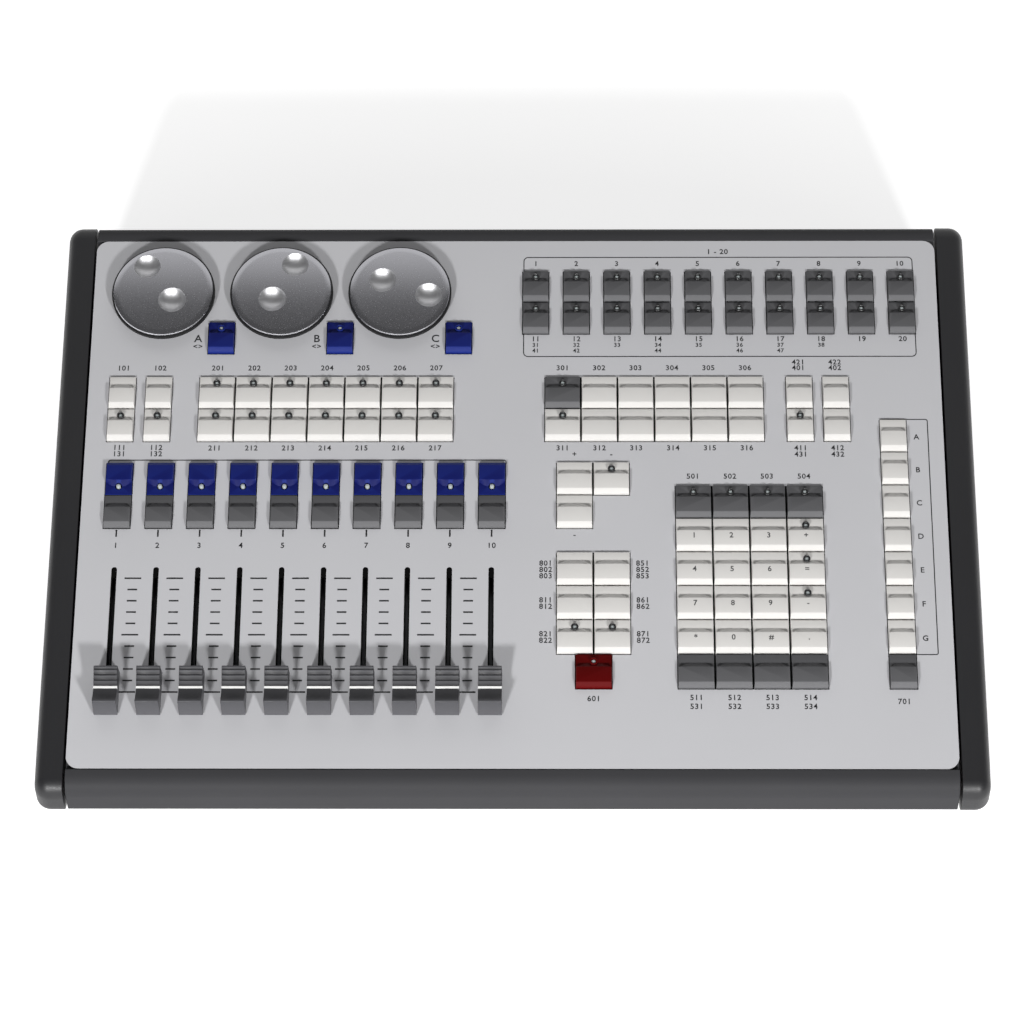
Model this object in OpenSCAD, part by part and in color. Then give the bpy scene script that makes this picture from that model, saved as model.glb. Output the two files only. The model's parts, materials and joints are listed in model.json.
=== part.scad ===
// Lighting control desk: a wedge case with a sloping panel, ten playback faders,
// three turning wheels and blocks of lamp keys. Sizes in millimetres, Z up, the
// operator sits at -Y. The origin is under the middle of the desk, on the table.

/* [Layout] */
// Distance between keys in a block
key_pitch = 18.1; // [15:0.1:22]
// Distance between fader channels
channel_pitch = 20.32; // [16.8:0.02:24.5]
// Panel edge to the first fader channel
side_margin = 17.9; // [14.9:0.1:21.5]
// Last fader channel to the first executor column
middle_gap = 21.1; // [17.5:0.1:30]
// Panel front edge to the first key row
front_margin = 40.7; // [33.9:0.1:48.9]
// Last key row to the panel rear edge
rear_margin = 17.7; // [14.7:0.1:24]
// Legend strip between two key blocks
legend_strip = 24.1; // [20:0.1:29]
// Strip between the playback keys and the attribute keys
playback_strip = 11.4; // [9.5:0.1:13.7]

/* [Case] */
// Slope of the panel in degrees
panel_tilt = 8; // [6.6:0.2:9.6]
// Thickness of the panel sheet
panel_t = 2; // [1.6:0.1:2.5]
// Corner radius of the panel sheet
panel_corner_r = 6; // [5:0.1:7.2]
// Height of the front nose
nose_h = 22.5; // [18.7:0.1:27]
// Depth of the front rail before the panel
rail_d = 10.5; // [9.5:0.1:12.6]
// Radius along the top of the front nose
nose_r = 9; // [7.5:0.1:9.5]
// Depth of the rear rail behind the panel
rear_rail_d = 11.1; // [9.2:0.1:13.4]
// Wall of the rails
rail_wall = 3; // [2.5:0.1:3.6]
// How far the base tray hangs below the nose
base_drop = 12; // [10:0.1:14.4]
// Thickness of the tray, side and rear sheets
sheet_t = 1.5; // [1.2:0.1:1.8]
// Width of each end cheek
cheek_w = 13.9; // [11.5:0.1:16.7]
// Radius round the outer edge of a cheek
cheek_edge_r = 7; // [5.8:0.1:8.4]
// Shadow gap between a cheek and the panel
cheek_gap = 1.15; // [0.6:0.05:2]
// How far the cheeks stand past the rails
cheek_proud = 1; // [0.5:0.5:2]
// Height of the rubber feet
foot_h = 6; // [5:0.1:7.2]
// Radius of the rubber feet
foot_r = 9; // [7.5:0.1:10.8]

/* [Keys] */
// Gap between two key columns
key_col_gap = 0.8; // [0.6:0.1:1.6]
// Gap between two key rows
key_row_gap = 0.5; // [0.4:0.1:1.2]
// Width of the narrow keys
narrow_key_w = 12.9; // [10.7:0.1:14.2]
// Height of a key's lamp ledge above the panel
ledge_h = 1.6; // [1.4:0.1:1.9]
// Height of a key's finger face above the panel
key_h = 3.2; // [2.7:0.1:3.8]
// Key travel
key_travel = 1.5; // [1.2:0.1:1.8]
// Diameter of a key lamp
lamp_d = 2.2; // [1.8:0.1:2.6]
// Hole round a key lamp
lamp_hole_d = 3.4; // [3.2:0.1:4]
// Width of the square key stem
stem_w = 3; // [2.5:0.1:3.6]

/* [Faders] */
// Fader travel
fader_travel = 60; // [50:0.5:72]
// Panel front edge to the lever at rest
fader_rest = 37.9; // [31.5:0.1:45]
// Width of a fader slot
slot_w = 2.7; // [2.2:0.1:3.4]
// Width of a fader cap
cap_w = 11.5; // [10:0.5:14]
// Length of a fader cap
cap_l = 22; // [18.5:0.1:24.6]
// Height of a fader cap's ridges above the panel
cap_h = 12.4; // [10.6:0.1:14.9]

/* [Wheels] */
// Radius of a wheel
wheel_r = 25; // [20.8:0.1:30]
// Top of a wheel above the panel
wheel_h = 7.6; // [6.4:0.1:9.1]
// Diameter of the finger dimples
dimple_d = 14; // [11.6:0.1:16.8]
// Depth of the finger dimples
dimple_depth = 4; // [3:0.1:4.2]
// Diameter of the encoder shafts
shaft_d = 6; // [5:0.1:7.2]

/* [Fits] */
// Clearance round sliding parts
slide_gap = 0.3; // [0.3:0.05:0.5]
// Radial clearance of turning shafts
turn_gap = 0.05; // [0.03:0.01:0.1]
// Joint line between the panel and the rails
edge_gap = 0.3; // [0.2:0.1:0.6]
// Gap left round pushed-on pieces
press_gap = 0.05; // [0.03:0.01:0.1]

/* [Hidden] */

$fn = 64;
HULL_FN = 32;

// Colours
case_grey = "#4c4c4e";
cheek_grey = "#303031";
panel_grey = "#b8b8ba";
key_white = "#e6e5e0";
key_grey = "#6a6a6c";
key_dark = "#4b4b4e";
key_blue = "#1f3fa0";
key_red = "#b01218";
sheet_black = "#2a2a2c";

// Panel and case sizes
last_channel = 9;
wheel_count = 3;
wheel_margin = 10.35;
wheel_gap = 9.25;
wheel_key_gap = 4.65;
record_shift = 4.4;
window_gap = 17.5;
soft_shift = 6.8;
least_gap = 6;
wheel_pitch = 2 * wheel_r + wheel_gap;
wheel_block_w = wheel_margin + 2 * wheel_r + (wheel_count - 1) * wheel_pitch + wheel_key_gap
    + narrow_key_w / 2;
executor_left = max(side_margin + last_channel * channel_pitch + middle_gap,
    wheel_block_w + least_gap + narrow_key_w / 2);
executor_w = max(last_channel * channel_pitch,
    record_shift + 7 * key_pitch + window_gap + narrow_key_w + least_gap + soft_shift);
panel_w = executor_left + executor_w + side_margin;
attribute_y = front_margin + 6 * key_pitch + legend_strip;
executor_y = attribute_y + 2 * key_pitch + legend_strip;
playback_y = attribute_y - 2 * key_pitch - playback_strip;
panel_d = executor_y + 2 * key_pitch + rear_margin;
nose_z = foot_h + base_drop;
case_d = 2 * (cheek_proud + edge_gap) + rail_d + panel_d * cos(panel_tilt) + rear_rail_d;
rail_y = -case_d / 2 + cheek_proud;
panel_y = rail_y + rail_d + edge_gap;
panel_z = nose_z + nose_h;
rear_rail_y = panel_y + panel_d * cos(panel_tilt) + edge_gap;
rear_face_y = rear_rail_y + rear_rail_d;
sheet_face_y = rear_face_y - rail_wall;
cheek_x = panel_w / 2 + cheek_gap;
tray_z = foot_h + sheet_t;

// Key blocks: left or front lines of each block, and middles of single columns
fixture_shift = 0.9;
attribute_gap = 19.8;
cue_shift = 10.2;
keypad_gap = 21.8;
channel_x = -panel_w / 2 + side_margin;
executor_x = -panel_w / 2 + executor_left;
fixture_x = channel_x - fixture_shift;
attribute_x = fixture_x + key_pitch + attribute_gap;
record_x = executor_x + record_shift;
window_x = record_x + 6 * key_pitch + window_gap;
cue_x = executor_x + cue_shift;
keypad_x = cue_x + 2 * key_pitch + keypad_gap;
soft_x = executor_x + executor_w - soft_shift;
cue_y = front_margin + key_pitch;

// Wheels
wheel_rear_gap = 7.3;
wheel_x = -panel_w / 2 + wheel_r + wheel_margin;
wheel_y = panel_d - wheel_r - wheel_rear_gap;
wheel_lift = 0.8;
wheel_floor_t = 0.6;
wheel_rim_t = 2.4;
grip_t = 2.5;
grip_h = 1.8;
grip_proud = 0.8;
wheel_key_dx = wheel_r + wheel_key_gap;
wheel_key_dy = -wheel_r + 1.3;
dimple_r = dimple_d / 2;
// Two dimples a wheel: [rim left outside the outer one, its angle], [distance of the inner one, its angle]
dimples = [[[1.7, 122], [7.4, -50]], [[1.7, 66], [6.8, 230]], [[3, -11], [10.5, 147]]];

// Keys
key_l = key_pitch - key_row_gap;
wide_key_w = key_pitch - key_col_gap;
skirt_z = -panel_t - 1;
key_wall = 1.2;
ledge_d = 4.4;
slope_d = 2;
bevel_d = 1.9;
bevel_h = 1.5;
side_bevel = 0.25;
side_bevel_z = 0.8;
lamp_proud = 1;
switch_w = 6;
switch_h = 4;
switch_floor = 0.3;
lamp_inset = min(4.2, key_l / 2 - switch_w / 2 - lamp_d / 2 - 0.3);
board_drop = panel_t + 8.5;
board_t = 1.6;
stem_end = -board_drop + switch_floor + key_travel + 0.2;

// Faders
slot_y0 = fader_rest - 5.5;
slot_y1 = fader_rest + fader_travel + 7.5;
frame_end = 5;
frame_w = 9;
frame_h = 9;
frame_wall = 1.2;
lever_w = 1.2;
lever_l = 4;
carriage_l = 8;
lever_top = 6;
cap_lift = 1;
cap_valley = 9;
cap_line_w = 1.2;

// Encoders
encoder_w = 13;
encoder_floor = 1.2;
bush_r = shaft_d / 2 + 1.5;
bush_top = 2.4;
nut_r = bush_r + 2.4;
nut_t = 2;

// Underside of a wheel, which goes over the nut and onto the shaft
pocket_z = max(bush_top, nut_t) + 0.6;
shaft_grip = 1;
dimple_sink = min(dimple_depth, wheel_h - pocket_z - 0.4);
dimple_ball_r = (dimple_r * dimple_r + dimple_sink * dimple_sink) / (2 * dimple_sink);

// Rear connectors, placed along the rear sheet
connector_z = 37;
socket_pitch = min(38, panel_w / 11);
inlet_x = panel_w / 2 - 41.3;
rocker_x = inlet_x - 37;
dmx_x = [for (i = [0:3]) -panel_w / 2 + 36.3 + socket_pitch * i];
usb_x = [inlet_x - 107 - socket_pitch, inlet_x - 107];
usb_ports = [[8.8, 8.2, 5.6, 3.2], [12.8, 5.4, 11, 1.8]];
usb_depth = 10;
flange_w = 26;
flange_h = 31;
flange_t = 2;
flange_screw = [9.5, 12];
barrel_r = 11.8;
barrel_d = 20;
socket_r = 9.6;
socket_floor = 3;
insert_r = 7.7;
contact_r = 4.6;
inlet_w = 27;
inlet_h = 20;
inlet_flange = [48, 24];
inlet_depth = 18;
inlet_floor = 2;
inlet_screw_x = 20;
inlet_room = 6.4;
inlet_pins = [[-7, 2], [0, -2], [7, 2]];
rocker_w = 9.6;
rocker_tilt = 10;
switch_body = [13, 21];
switch_plate = [16, 24];
switch_depth = 14;
pivot_r = 1.5;
screw_r = 1.5;
screw_head_r = 2.8;
screw_head_h = 1.7;
hole_r = screw_r + 0.1;

// Boards and supply on the tray: x, y, width, depth
supply_w = 84;
supply = [panel_w / 2 - 23.3 - supply_w, 5, supply_w, 88];
supply_h = 30;
processor_w = 150;
processor = [supply[0] - 24 - processor_w, -20, processor_w, 100];
pillar_h = 8;
feet_inset = [34, 30];
board_hole_inset = 6;
header = [40, 9, 9];
ribbon_x = processor[0] + 80;
ribbon_y = 35;
ribbon_w = 33;
ribbon_t = 1.2;
ribbon_step = 12;

// Rails, tray and sheets
flange_d = 19;
nose_low_r = 4;
rear_r = 8;
rear_rail_h = 15;
shelf_t = 2.5;
shelf_d = 11;
tray_setback = 15;
tray_y0 = rail_y + tray_setback;
cheek_low = nose_z - 1;
cheek_rise = 45;
land_inset = 6;
land_drop = 10;
tray_screw_x = 150;

// Key lists: [x, y of the middle, width, lamp, turned round]
function column_x(x, n) = x + (n + 0.5) * key_pitch;
function row_y(y, n) = y + (n + 0.5) * key_pitch;
function wheel_at(i) = wheel_x + i * wheel_pitch;
function wheel_key(i) =
    [[wheel_at(i) + wheel_key_dx, wheel_y + wheel_key_dy, narrow_key_w, true, false]];
fixture_list = [for (c = [0:1], r = [0:1])
    [fixture_x + c * key_pitch, row_y(attribute_y, r), narrow_key_w, r == 0, false]];
attribute_list = [for (c = [0:6], r = [0:1])
    [column_x(attribute_x, c), row_y(attribute_y, r), wide_key_w, true, false]];
flash_list = [for (c = [0:last_channel])
    [channel_x + c * channel_pitch, row_y(playback_y, 1), narrow_key_w, true, true]];
select_list = [for (c = [0:last_channel])
    [channel_x + c * channel_pitch, row_y(playback_y, 0), narrow_key_w, false, false]];
executor_list = [for (c = [0:last_channel], r = [0:1])
    [executor_x + c * channel_pitch, row_y(executor_y, r), narrow_key_w, true, false]];
record_list = [[column_x(record_x, 0), row_y(attribute_y, 1), wide_key_w, true, false]];
menu_list = [for (c = [0:5], r = [0:1]) if (c + r * 6 != 6)
    [column_x(record_x, c), row_y(attribute_y, r), wide_key_w, c + r == 0, false]];
window_list = [for (c = [0:1], r = [0:1])
    [window_x + c * key_pitch, row_y(attribute_y, r), narrow_key_w, c + r == 0, false]];
page_list = [for (c = [0:1], r = [0:1]) if (c + r != 1 || r == 1)
    [column_x(cue_x, c), row_y(playback_y, r), wide_key_w, c == 1, false]];
cue_list = [for (c = [0:1], r = [0:2])
    [column_x(cue_x, c), row_y(cue_y, r), wide_key_w, r == 0, false]];
go_list = [[cue_x + key_pitch, row_y(front_margin, 0), wide_key_w, true, false]];
keypad_upper_list = [for (c = [0:3])
    [column_x(keypad_x, c), row_y(front_margin, 5), wide_key_w, true, false]];
keypad_list = [for (c = [0:3], r = [1:4])
    [column_x(keypad_x, c), row_y(front_margin, r), wide_key_w, c == 3 && r > 1, false]];
keypad_lower_list = [for (c = [0:3])
    [column_x(keypad_x, c), row_y(front_margin, 0), wide_key_w, false, false]];
soft_list = [for (r = [1:7])
    [soft_x, row_y(front_margin, r), narrow_key_w, false, false]];
locate_list = [[soft_x, row_y(front_margin, 0), narrow_key_w, false, false]];
all_keys = concat(wheel_key(0), wheel_key(1), wheel_key(2), fixture_list, attribute_list,
    flash_list, select_list, executor_list, record_list, menu_list, window_list, page_list,
    cue_list, go_list, keypad_upper_list, keypad_list, keypad_lower_list, soft_list, locate_list);

// Openings in the panel: [x0, y0, x1, y1]
function column_cut(x, y, rows) = [x - narrow_key_w / 2 - key_col_gap / 2, y,
    x + narrow_key_w / 2 + key_col_gap / 2, y + rows * key_pitch];
function block_cut(x, y, columns, rows) = [x, y, x + columns * key_pitch, y + rows * key_pitch];
panel_cuts = concat(
    [for (i = [0:wheel_count - 1]) column_cut(wheel_at(i) + wheel_key_dx,
        wheel_y + wheel_key_dy - key_pitch / 2, 1)],
    [for (c = [0:1]) column_cut(fixture_x + c * key_pitch, attribute_y, 2)],
    [for (c = [0:last_channel]) column_cut(channel_x + c * channel_pitch, playback_y, 2)],
    [for (c = [0:last_channel]) column_cut(executor_x + c * channel_pitch, executor_y, 2)],
    [for (c = [0:1]) column_cut(window_x + c * key_pitch, attribute_y, 2)],
    [column_cut(soft_x, front_margin, 8),
     block_cut(attribute_x, attribute_y, 7, 2),
     block_cut(record_x, attribute_y, 6, 2),
     block_cut(cue_x, playback_y, 1, 2),
     block_cut(cue_x, playback_y + key_pitch, 2, 1),
     block_cut(cue_x, cue_y, 2, 3),
     [cue_x + key_pitch / 2, front_margin, cue_x + 1.5 * key_pitch, cue_y + key_row_gap],
     block_cut(keypad_x, front_margin, 4, 6)]);

// Pillars between the panel and the key board
gap_x = (cue_x + 2 * key_pitch + keypad_x) / 2;
soft_gap_x = (keypad_x + 4 * key_pitch + soft_x - narrow_key_w / 2) / 2;
strip_y = attribute_y - playback_strip / 2;
legend_y = executor_y - legend_strip / 2;
board_edge = 5.5;
pillar_r = 2.5;
rear_pillar_y = panel_d - shelf_d - pillar_r - 0.7;
key_pillars = concat(
    [for (y = [legend_y, rear_pillar_y]) for (x = [-panel_w / 2 + board_edge, executor_x - 10,
        panel_w / 2 - board_edge]) [x, y]],
    [for (n = [1.5, 4.5, 7.5]) [channel_x + n * channel_pitch, strip_y]],
    [for (x = [gap_x, soft_gap_x]) for (y = [front_margin + 6, front_margin + 5 * key_pitch]) [x, y]],
    [for (n = [2.5, 6.5]) [executor_x + n * channel_pitch, rear_pillar_y]]);

// ---- helpers ----

// From the panel's own plane (x, y from the front edge, z above the panel) to the desk
module on_panel() translate([0, panel_y, panel_z]) rotate([panel_tilt, 0, 0]) children();

// A side profile drawn in (y, z) and run across the desk
module across(w) rotate([90, 0, 90]) linear_extrude(w, center = true) children();

function top_line(y) = panel_z + (y - panel_y) * tan(panel_tilt);
function under_line(y, t) = top_line(y) - t / cos(panel_tilt);

// Rear connectors: x across, y up the sheet, z out of the rear sheet
module on_rear(x) translate([x, sheet_face_y, connector_z]) rotate([90, 0, 180]) children();

module rounded_plate(w, d, r) {
    translate([-w / 2, r]) square([w, d - 2 * r]);
    translate([-w / 2 + r, 0]) square([w - 2 * r, d]);
    for (x = [-w / 2 + r, w / 2 - r], y = [r, d - r]) translate([x, y]) circle(r);
}

// ---- case ----

module top_panel() color(panel_grey) on_panel() translate([0, 0, -panel_t])
    linear_extrude(panel_t) difference() {
        rounded_plate(panel_w, panel_d, panel_corner_r);
        for (c = panel_cuts) translate([c[0], c[1]]) square([c[2] - c[0], c[3] - c[1]]);
        for (n = [0:last_channel]) translate([channel_x + n * channel_pitch, 0]) slot_shape(slot_w);
        for (i = [0:wheel_count - 1]) translate([wheel_at(i), wheel_y]) circle(bush_r + 0.1);
    }

module slot_shape(w) {
    translate([-w / 2, slot_y0 + w / 2]) square([w, slot_y1 - slot_y0 - w]);
    for (y = [slot_y0 + w / 2, slot_y1 - w / 2]) translate([0, y]) circle(w / 2);
}

// Nose outline tangent to the panel line, the front face and the bottom, cut at y_end
module nose_outline(y_front, y_end, z_low, r_top, r_low, inset) {
    top_y = y_front + r_top;
    top_z = under_line(top_y, inset + r_top);
    intersection() {
        union() {
            translate([top_y, top_z]) circle(r_top);
            translate([y_front + r_low, z_low + r_low]) circle(r_low);
            polygon([[y_front, top_z], [y_front, z_low + r_low], [y_front + r_low, z_low],
                [y_end, z_low], [y_end, under_line(y_end, inset)],
                [top_y - r_top * sin(panel_tilt), top_z + r_top * cos(panel_tilt)]]);
        }
        translate([y_front, z_low]) square([y_end - y_front, 2 * nose_h]);
    }
}

module front_rail() color(case_grey) across(panel_w) {
    difference() {
        nose_outline(rail_y, rail_y + rail_d, nose_z, nose_r, nose_low_r, 0);
        nose_outline(rail_y + rail_wall, rail_y + rail_d + 1, nose_z + rail_wall,
            nose_r - rail_wall, 1, rail_wall);
    }
    translate([panel_y, panel_z]) rotate(panel_tilt)
        translate([-rail_wall - 1, -panel_t - shelf_t]) square([shelf_d + rail_wall + 1, shelf_t]);
    translate([rail_y + nose_low_r, nose_z]) square([flange_d - nose_low_r, rail_wall]);
}

module rear_outline(y_rear, z_low, r, inset) {
    round_y = y_rear - r;
    round_z = under_line(round_y, inset + r);
    intersection() {
        union() {
            translate([round_y, round_z]) circle(r);
            polygon([[rear_rail_y - 1, z_low], [y_rear, z_low], [y_rear, round_z],
                [round_y - r * sin(panel_tilt), round_z + r * cos(panel_tilt)],
                [rear_rail_y - 1, under_line(rear_rail_y - 1, inset)]]);
        }
        translate([rear_rail_y, z_low]) square([rear_rail_d, 2 * nose_h]);
    }
}

module rear_rail() color(case_grey) across(panel_w) {
    rail_low = top_line(rear_face_y) - rear_rail_h;
    difference() {
        rear_outline(rear_face_y, rail_low, rear_r, 0);
        translate([0, -1]) rear_outline(rear_face_y - rail_wall, rail_low, 1, rail_wall + panel_t);
    }
    translate([panel_y, panel_z]) rotate(panel_tilt)
        translate([panel_d - shelf_d, -panel_t - shelf_t]) square([shelf_d + 2, shelf_t]);
}

tray_screw_y = [tray_y0 + 10, sheet_face_y - 12];
tray_screws = [for (x = [-tray_screw_x, 0, tray_screw_x]) for (y = tray_screw_y) [x, y]];

module base_tray() color(sheet_black) difference() {
    across(panel_w) {
        translate([tray_y0, foot_h]) square([sheet_face_y - sheet_t - tray_y0, sheet_t]);
        translate([tray_y0, foot_h]) square([sheet_t, base_drop]);
    }
    for (p = tray_screws) translate([p[0], p[1], foot_h - 1]) cylinder(r = hole_r, h = sheet_t + 2);
}

rear_sheet_top = top_line(rear_face_y) - rear_rail_h + 6;

module rear_panel() color(sheet_black) difference() {
    translate([-panel_w / 2, sheet_face_y - sheet_t, foot_h])
        cube([panel_w, sheet_t, rear_sheet_top - foot_h]);
    for (x = concat(dmx_x, usb_x)) on_rear(x) {
        translate([0, 0, -5]) cylinder(r = barrel_r + 0.1, h = 10);
        flange_holes();
    }
    on_rear(inlet_x) {
        translate([0, 0, -1]) cube([inlet_w + inlet_room, inlet_h + 2.8, 6], center = true);
        inlet_holes();
    }
    on_rear(rocker_x) cube([switch_body[0] + 0.2, switch_body[1] + 0.2, 6], center = true);
}

module flange_holes() for (s = [-1, 1])
    translate([flange_screw[0] * s, flange_screw[1] * s, -4]) cylinder(r = hole_r, h = 8);
module inlet_holes() for (s = [-1, 1])
    translate([inlet_screw_x * s, 0, -4]) cylinder(r = hole_r, h = 8);

side_y0 = panel_y + shelf_d + 0.5;
side_y1 = rear_rail_y - shelf_d - 1.5;
side_low_z = under_line(side_y1, panel_t + shelf_t + 2);

module side_plates() color(sheet_black)
    for (s = [-1, 1]) translate([s * (panel_w - sheet_t) / 2, 0, 0]) across(sheet_t)
        polygon([[tray_y0 + sheet_t, tray_z], [sheet_face_y - sheet_t, tray_z],
            [sheet_face_y - sheet_t, side_low_z], [side_y1, side_low_z],
            [side_y1, under_line(side_y1, panel_t)], [side_y0, under_line(side_y0, panel_t)],
            [side_y0, nose_z], [tray_y0 + sheet_t, nose_z]]);

// Cheek corners: [y, z, radius]
cheek_corners = [
    [-case_d / 2 + nose_r, under_line(-case_d / 2 + nose_r, nose_r), nose_r],
    [-case_d / 2 + cheek_edge_r, cheek_low + cheek_edge_r, cheek_edge_r],
    [-case_d / 2 + cheek_rise, foot_h + 2 + cheek_edge_r, cheek_edge_r],
    [case_d / 2 - cheek_edge_r, foot_h + 2 + cheek_edge_r, cheek_edge_r],
    [case_d / 2 - nose_r, under_line(case_d / 2 - nose_r, nose_r), nose_r]];

// Right-hand cheek: a pad with a rounded outer edge and a land that meets the side plate
module cheek() {
    hull() for (c = cheek_corners) translate([cheek_x, c[0], c[1]]) rotate([0, 90, 0]) {
        cylinder(r = c[2], h = cheek_w - cheek_edge_r, $fn = HULL_FN);
        translate([0, 0, cheek_w - cheek_edge_r]) rotate_extrude($fn = HULL_FN)
            translate([c[2] - cheek_edge_r, 0]) intersection() {
                circle(cheek_edge_r, $fn = HULL_FN);
                square(cheek_edge_r);
            }
    }
    translate([panel_w / 2 + cheek_gap / 2, 0, 0]) across(cheek_gap) polygon([
        [side_y0 + land_inset, tray_z + 12], [side_y1 - land_inset, tray_z + 12],
        [side_y1 - land_inset, under_line(side_y1, land_drop)],
        [side_y0 + land_inset, under_line(side_y0, land_drop)]]);
}

module right_cheek() color(cheek_grey) cheek();
module left_cheek() color(cheek_grey) mirror([1, 0, 0]) cheek();

feet_x = panel_w / 2 - feet_inset[0];
feet_y = [tray_y0 + feet_inset[1], sheet_face_y - feet_inset[1]];

module feet() color("#1c1c1d") for (x = [-feet_x, feet_x], y = feet_y) translate([x, y, 0])
    rotate_extrude() polygon([[0, 0], [foot_r - 1.5, 0], [foot_r, 1.5], [foot_r, foot_h], [0, foot_h]]);

// Screw with its head's underside at z = 0 and its shank below
module screw(length) {
    translate([0, 0, -length]) cylinder(r = screw_r, h = length);
    difference() {
        cylinder(r = screw_head_r, h = screw_head_h);
        translate([0, 0, 0.8]) cylinder(r = 1.3, h = 2, $fn = 6);
    }
}

module case_screws() color("#8a8a8c") {
    for (p = tray_screws) translate([p[0], p[1], foot_h]) rotate([180, 0, 0]) screw(5);
    for (x = concat(dmx_x, usb_x)) on_rear(x) for (s = [-1, 1])
        translate([flange_screw[0] * s, flange_screw[1] * s, flange_t]) screw(6);
    on_rear(inlet_x) for (s = [-1, 1]) translate([inlet_screw_x * s, 0, flange_t]) screw(6);
    for (p = key_pillars) on_panel() translate([p[0], p[1], -board_drop - board_t])
        rotate([180, 0, 0]) screw(board_t + 2);
    for (p = processor_pillars) translate([p[0], p[1], tray_z + pillar_h + board_t]) screw(4);
}

// ---- key board, switches and lamps ----

board_front = front_margin - 4;
notch_x = (channel_x + last_channel * channel_pitch + executor_x) / 2;
notch_y = max(slot_y1 + frame_end + 3, playback_y - 6);

module key_board() color("#1d3b2a") on_panel() translate([0, 0, -board_drop - board_t])
    linear_extrude(board_t) difference() {
        polygon([[-panel_w / 2 + 2, notch_y], [notch_x, notch_y], [notch_x, board_front],
            [panel_w / 2 - 2, board_front], [panel_w / 2 - 2, panel_d - 4],
            [-panel_w / 2 + 2, panel_d - 4]]);
        for (p = key_pillars) translate(p) circle(hole_r);
    }

module key_switches() color("#232325") on_panel() for (k = all_keys)
    translate([k[0], k[1], -board_drop]) difference() {
        translate([-switch_w / 2, -switch_w / 2, 0]) cube([switch_w, switch_w, switch_h]);
        translate([-stem_w / 2 - slide_gap, -stem_w / 2 - slide_gap, switch_floor])
            cube([stem_w + 2 * slide_gap, stem_w + 2 * slide_gap, switch_h]);
    }

function lamp_y(k) = k[1] + (k[4] ? -1 : 1) * (key_l / 2 - lamp_inset);

module key_lamps() color("#d8dcdc") on_panel() for (k = all_keys) if (k[3])
    translate([k[0], lamp_y(k), -board_drop]) {
        lamp_r = lamp_d / 2;
        straight = board_drop + ledge_h + lamp_proud - lamp_r;
        rotate_extrude() intersection() {
            union() {
                square([lamp_r, straight]);
                translate([0, straight]) circle(lamp_r);
            }
            square([lamp_r, straight + lamp_r]);
        }
    }

module board_pillars() color("#a9a9ab") {
    on_panel() for (p = key_pillars) translate([p[0], p[1], -board_drop]) difference() {
        cylinder(r = pillar_r, h = board_drop - panel_t);
        translate([0, 0, -1]) cylinder(r = screw_r, h = 5);
    }
    for (p = processor_pillars) translate([p[0], p[1], tray_z]) difference() {
        cylinder(r = pillar_r + 0.5, h = pillar_h);
        translate([0, 0, pillar_h - 5]) cylinder(r = screw_r, h = 6);
    }
}

// ---- faders ----

module fader_frames() color("#7d7f80") on_panel() for (n = [0:last_channel])
    translate([channel_x + n * channel_pitch, 0, -panel_t]) difference() {
        translate([-frame_w / 2, slot_y0 - frame_end, -frame_h])
            cube([frame_w, slot_y1 - slot_y0 + 2 * frame_end, frame_h]);
        translate([-frame_w / 2 + frame_wall, slot_y0, -frame_h + frame_wall])
            cube([frame_w - 2 * frame_wall, slot_y1 - slot_y0, frame_h - 2 * frame_wall]);
        translate([-slot_w / 2, slot_y0, -frame_wall - 1])
            cube([slot_w, slot_y1 - slot_y0, frame_wall + 2]);
    }

// Side profile of a fader cap in (y, z): two stepped slopes down to a valley
module cap_profile() {
    end = cap_l / 2;
    step = (cap_h - cap_valley - 1) / 3;
    half = [[end, cap_lift], [end - 0.9, cap_h - 0.6], [end - 1.5, cap_h], [end - 2.6, cap_h],
        [end - 2.9, cap_h - step], [end - 4.9, cap_h - step - 0.1],
        [end - 5.2, cap_h - 2 * step], [end - 7.2, cap_h - 2 * step - 0.1],
        [end - 7.5, cap_h - 3 * step], [cap_line_w / 2, cap_valley]];
    polygon(concat(half, [for (i = [len(half) - 1:-1:0]) [-half[i][0], half[i][1]]]));
}

module fader(n) on_panel() translate([channel_x + n * channel_pitch, fader_rest, 0]) {
    color("#77787a") difference() {
        across(cap_w) cap_profile();
        for (s = [-1, 1]) translate([s * cap_w / 2, 0, cap_h]) rotate([0, s * 14, 0])
            translate([0, 0, 2]) cube([2, cap_l + 2, 10], center = true);
        translate([-lever_w / 2 - press_gap, -lever_l / 2 - press_gap, 0])
            cube([lever_w + 2 * press_gap, lever_l + 2 * press_gap, lever_top + press_gap]);
    }
    color("#b9babb") {
        translate([-lever_w / 2, -lever_l / 2, -panel_t - 3])
            cube([lever_w, lever_l, lever_top + panel_t + 3]);
        carriage_w = frame_w - 2 * frame_wall - 2 * slide_gap;
        carriage_h = frame_h - 2 * frame_wall - 2 * slide_gap;
        translate([-carriage_w / 2, -carriage_l / 2, -panel_t - frame_wall - slide_gap - carriage_h])
            cube([carriage_w, carriage_l, carriage_h]);
    }
}

// ---- wheels ----

module encoder_housings() color("#5d5f62") on_panel() for (i = [0:wheel_count - 1])
    translate([wheel_at(i), wheel_y, 0]) difference() {
        union() {
            translate([-encoder_w / 2, -encoder_w / 2, -board_drop])
                cube([encoder_w, encoder_w, board_drop - panel_t]);
            translate([0, 0, -panel_t]) cylinder(r = bush_r, h = panel_t + bush_top);
        }
        translate([0, 0, -board_drop + encoder_floor])
            cylinder(r = shaft_d / 2 + turn_gap, h = board_drop + 10);
    }

module encoder_nuts() color("#b9babb") on_panel() for (i = [0:wheel_count - 1])
    translate([wheel_at(i), wheel_y, 0]) difference() {
        cylinder(r = nut_r, h = nut_t, $fn = 6);
        translate([0, 0, -1]) cylinder(r = bush_r + 0.02, h = nut_t + 2);
    }

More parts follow.
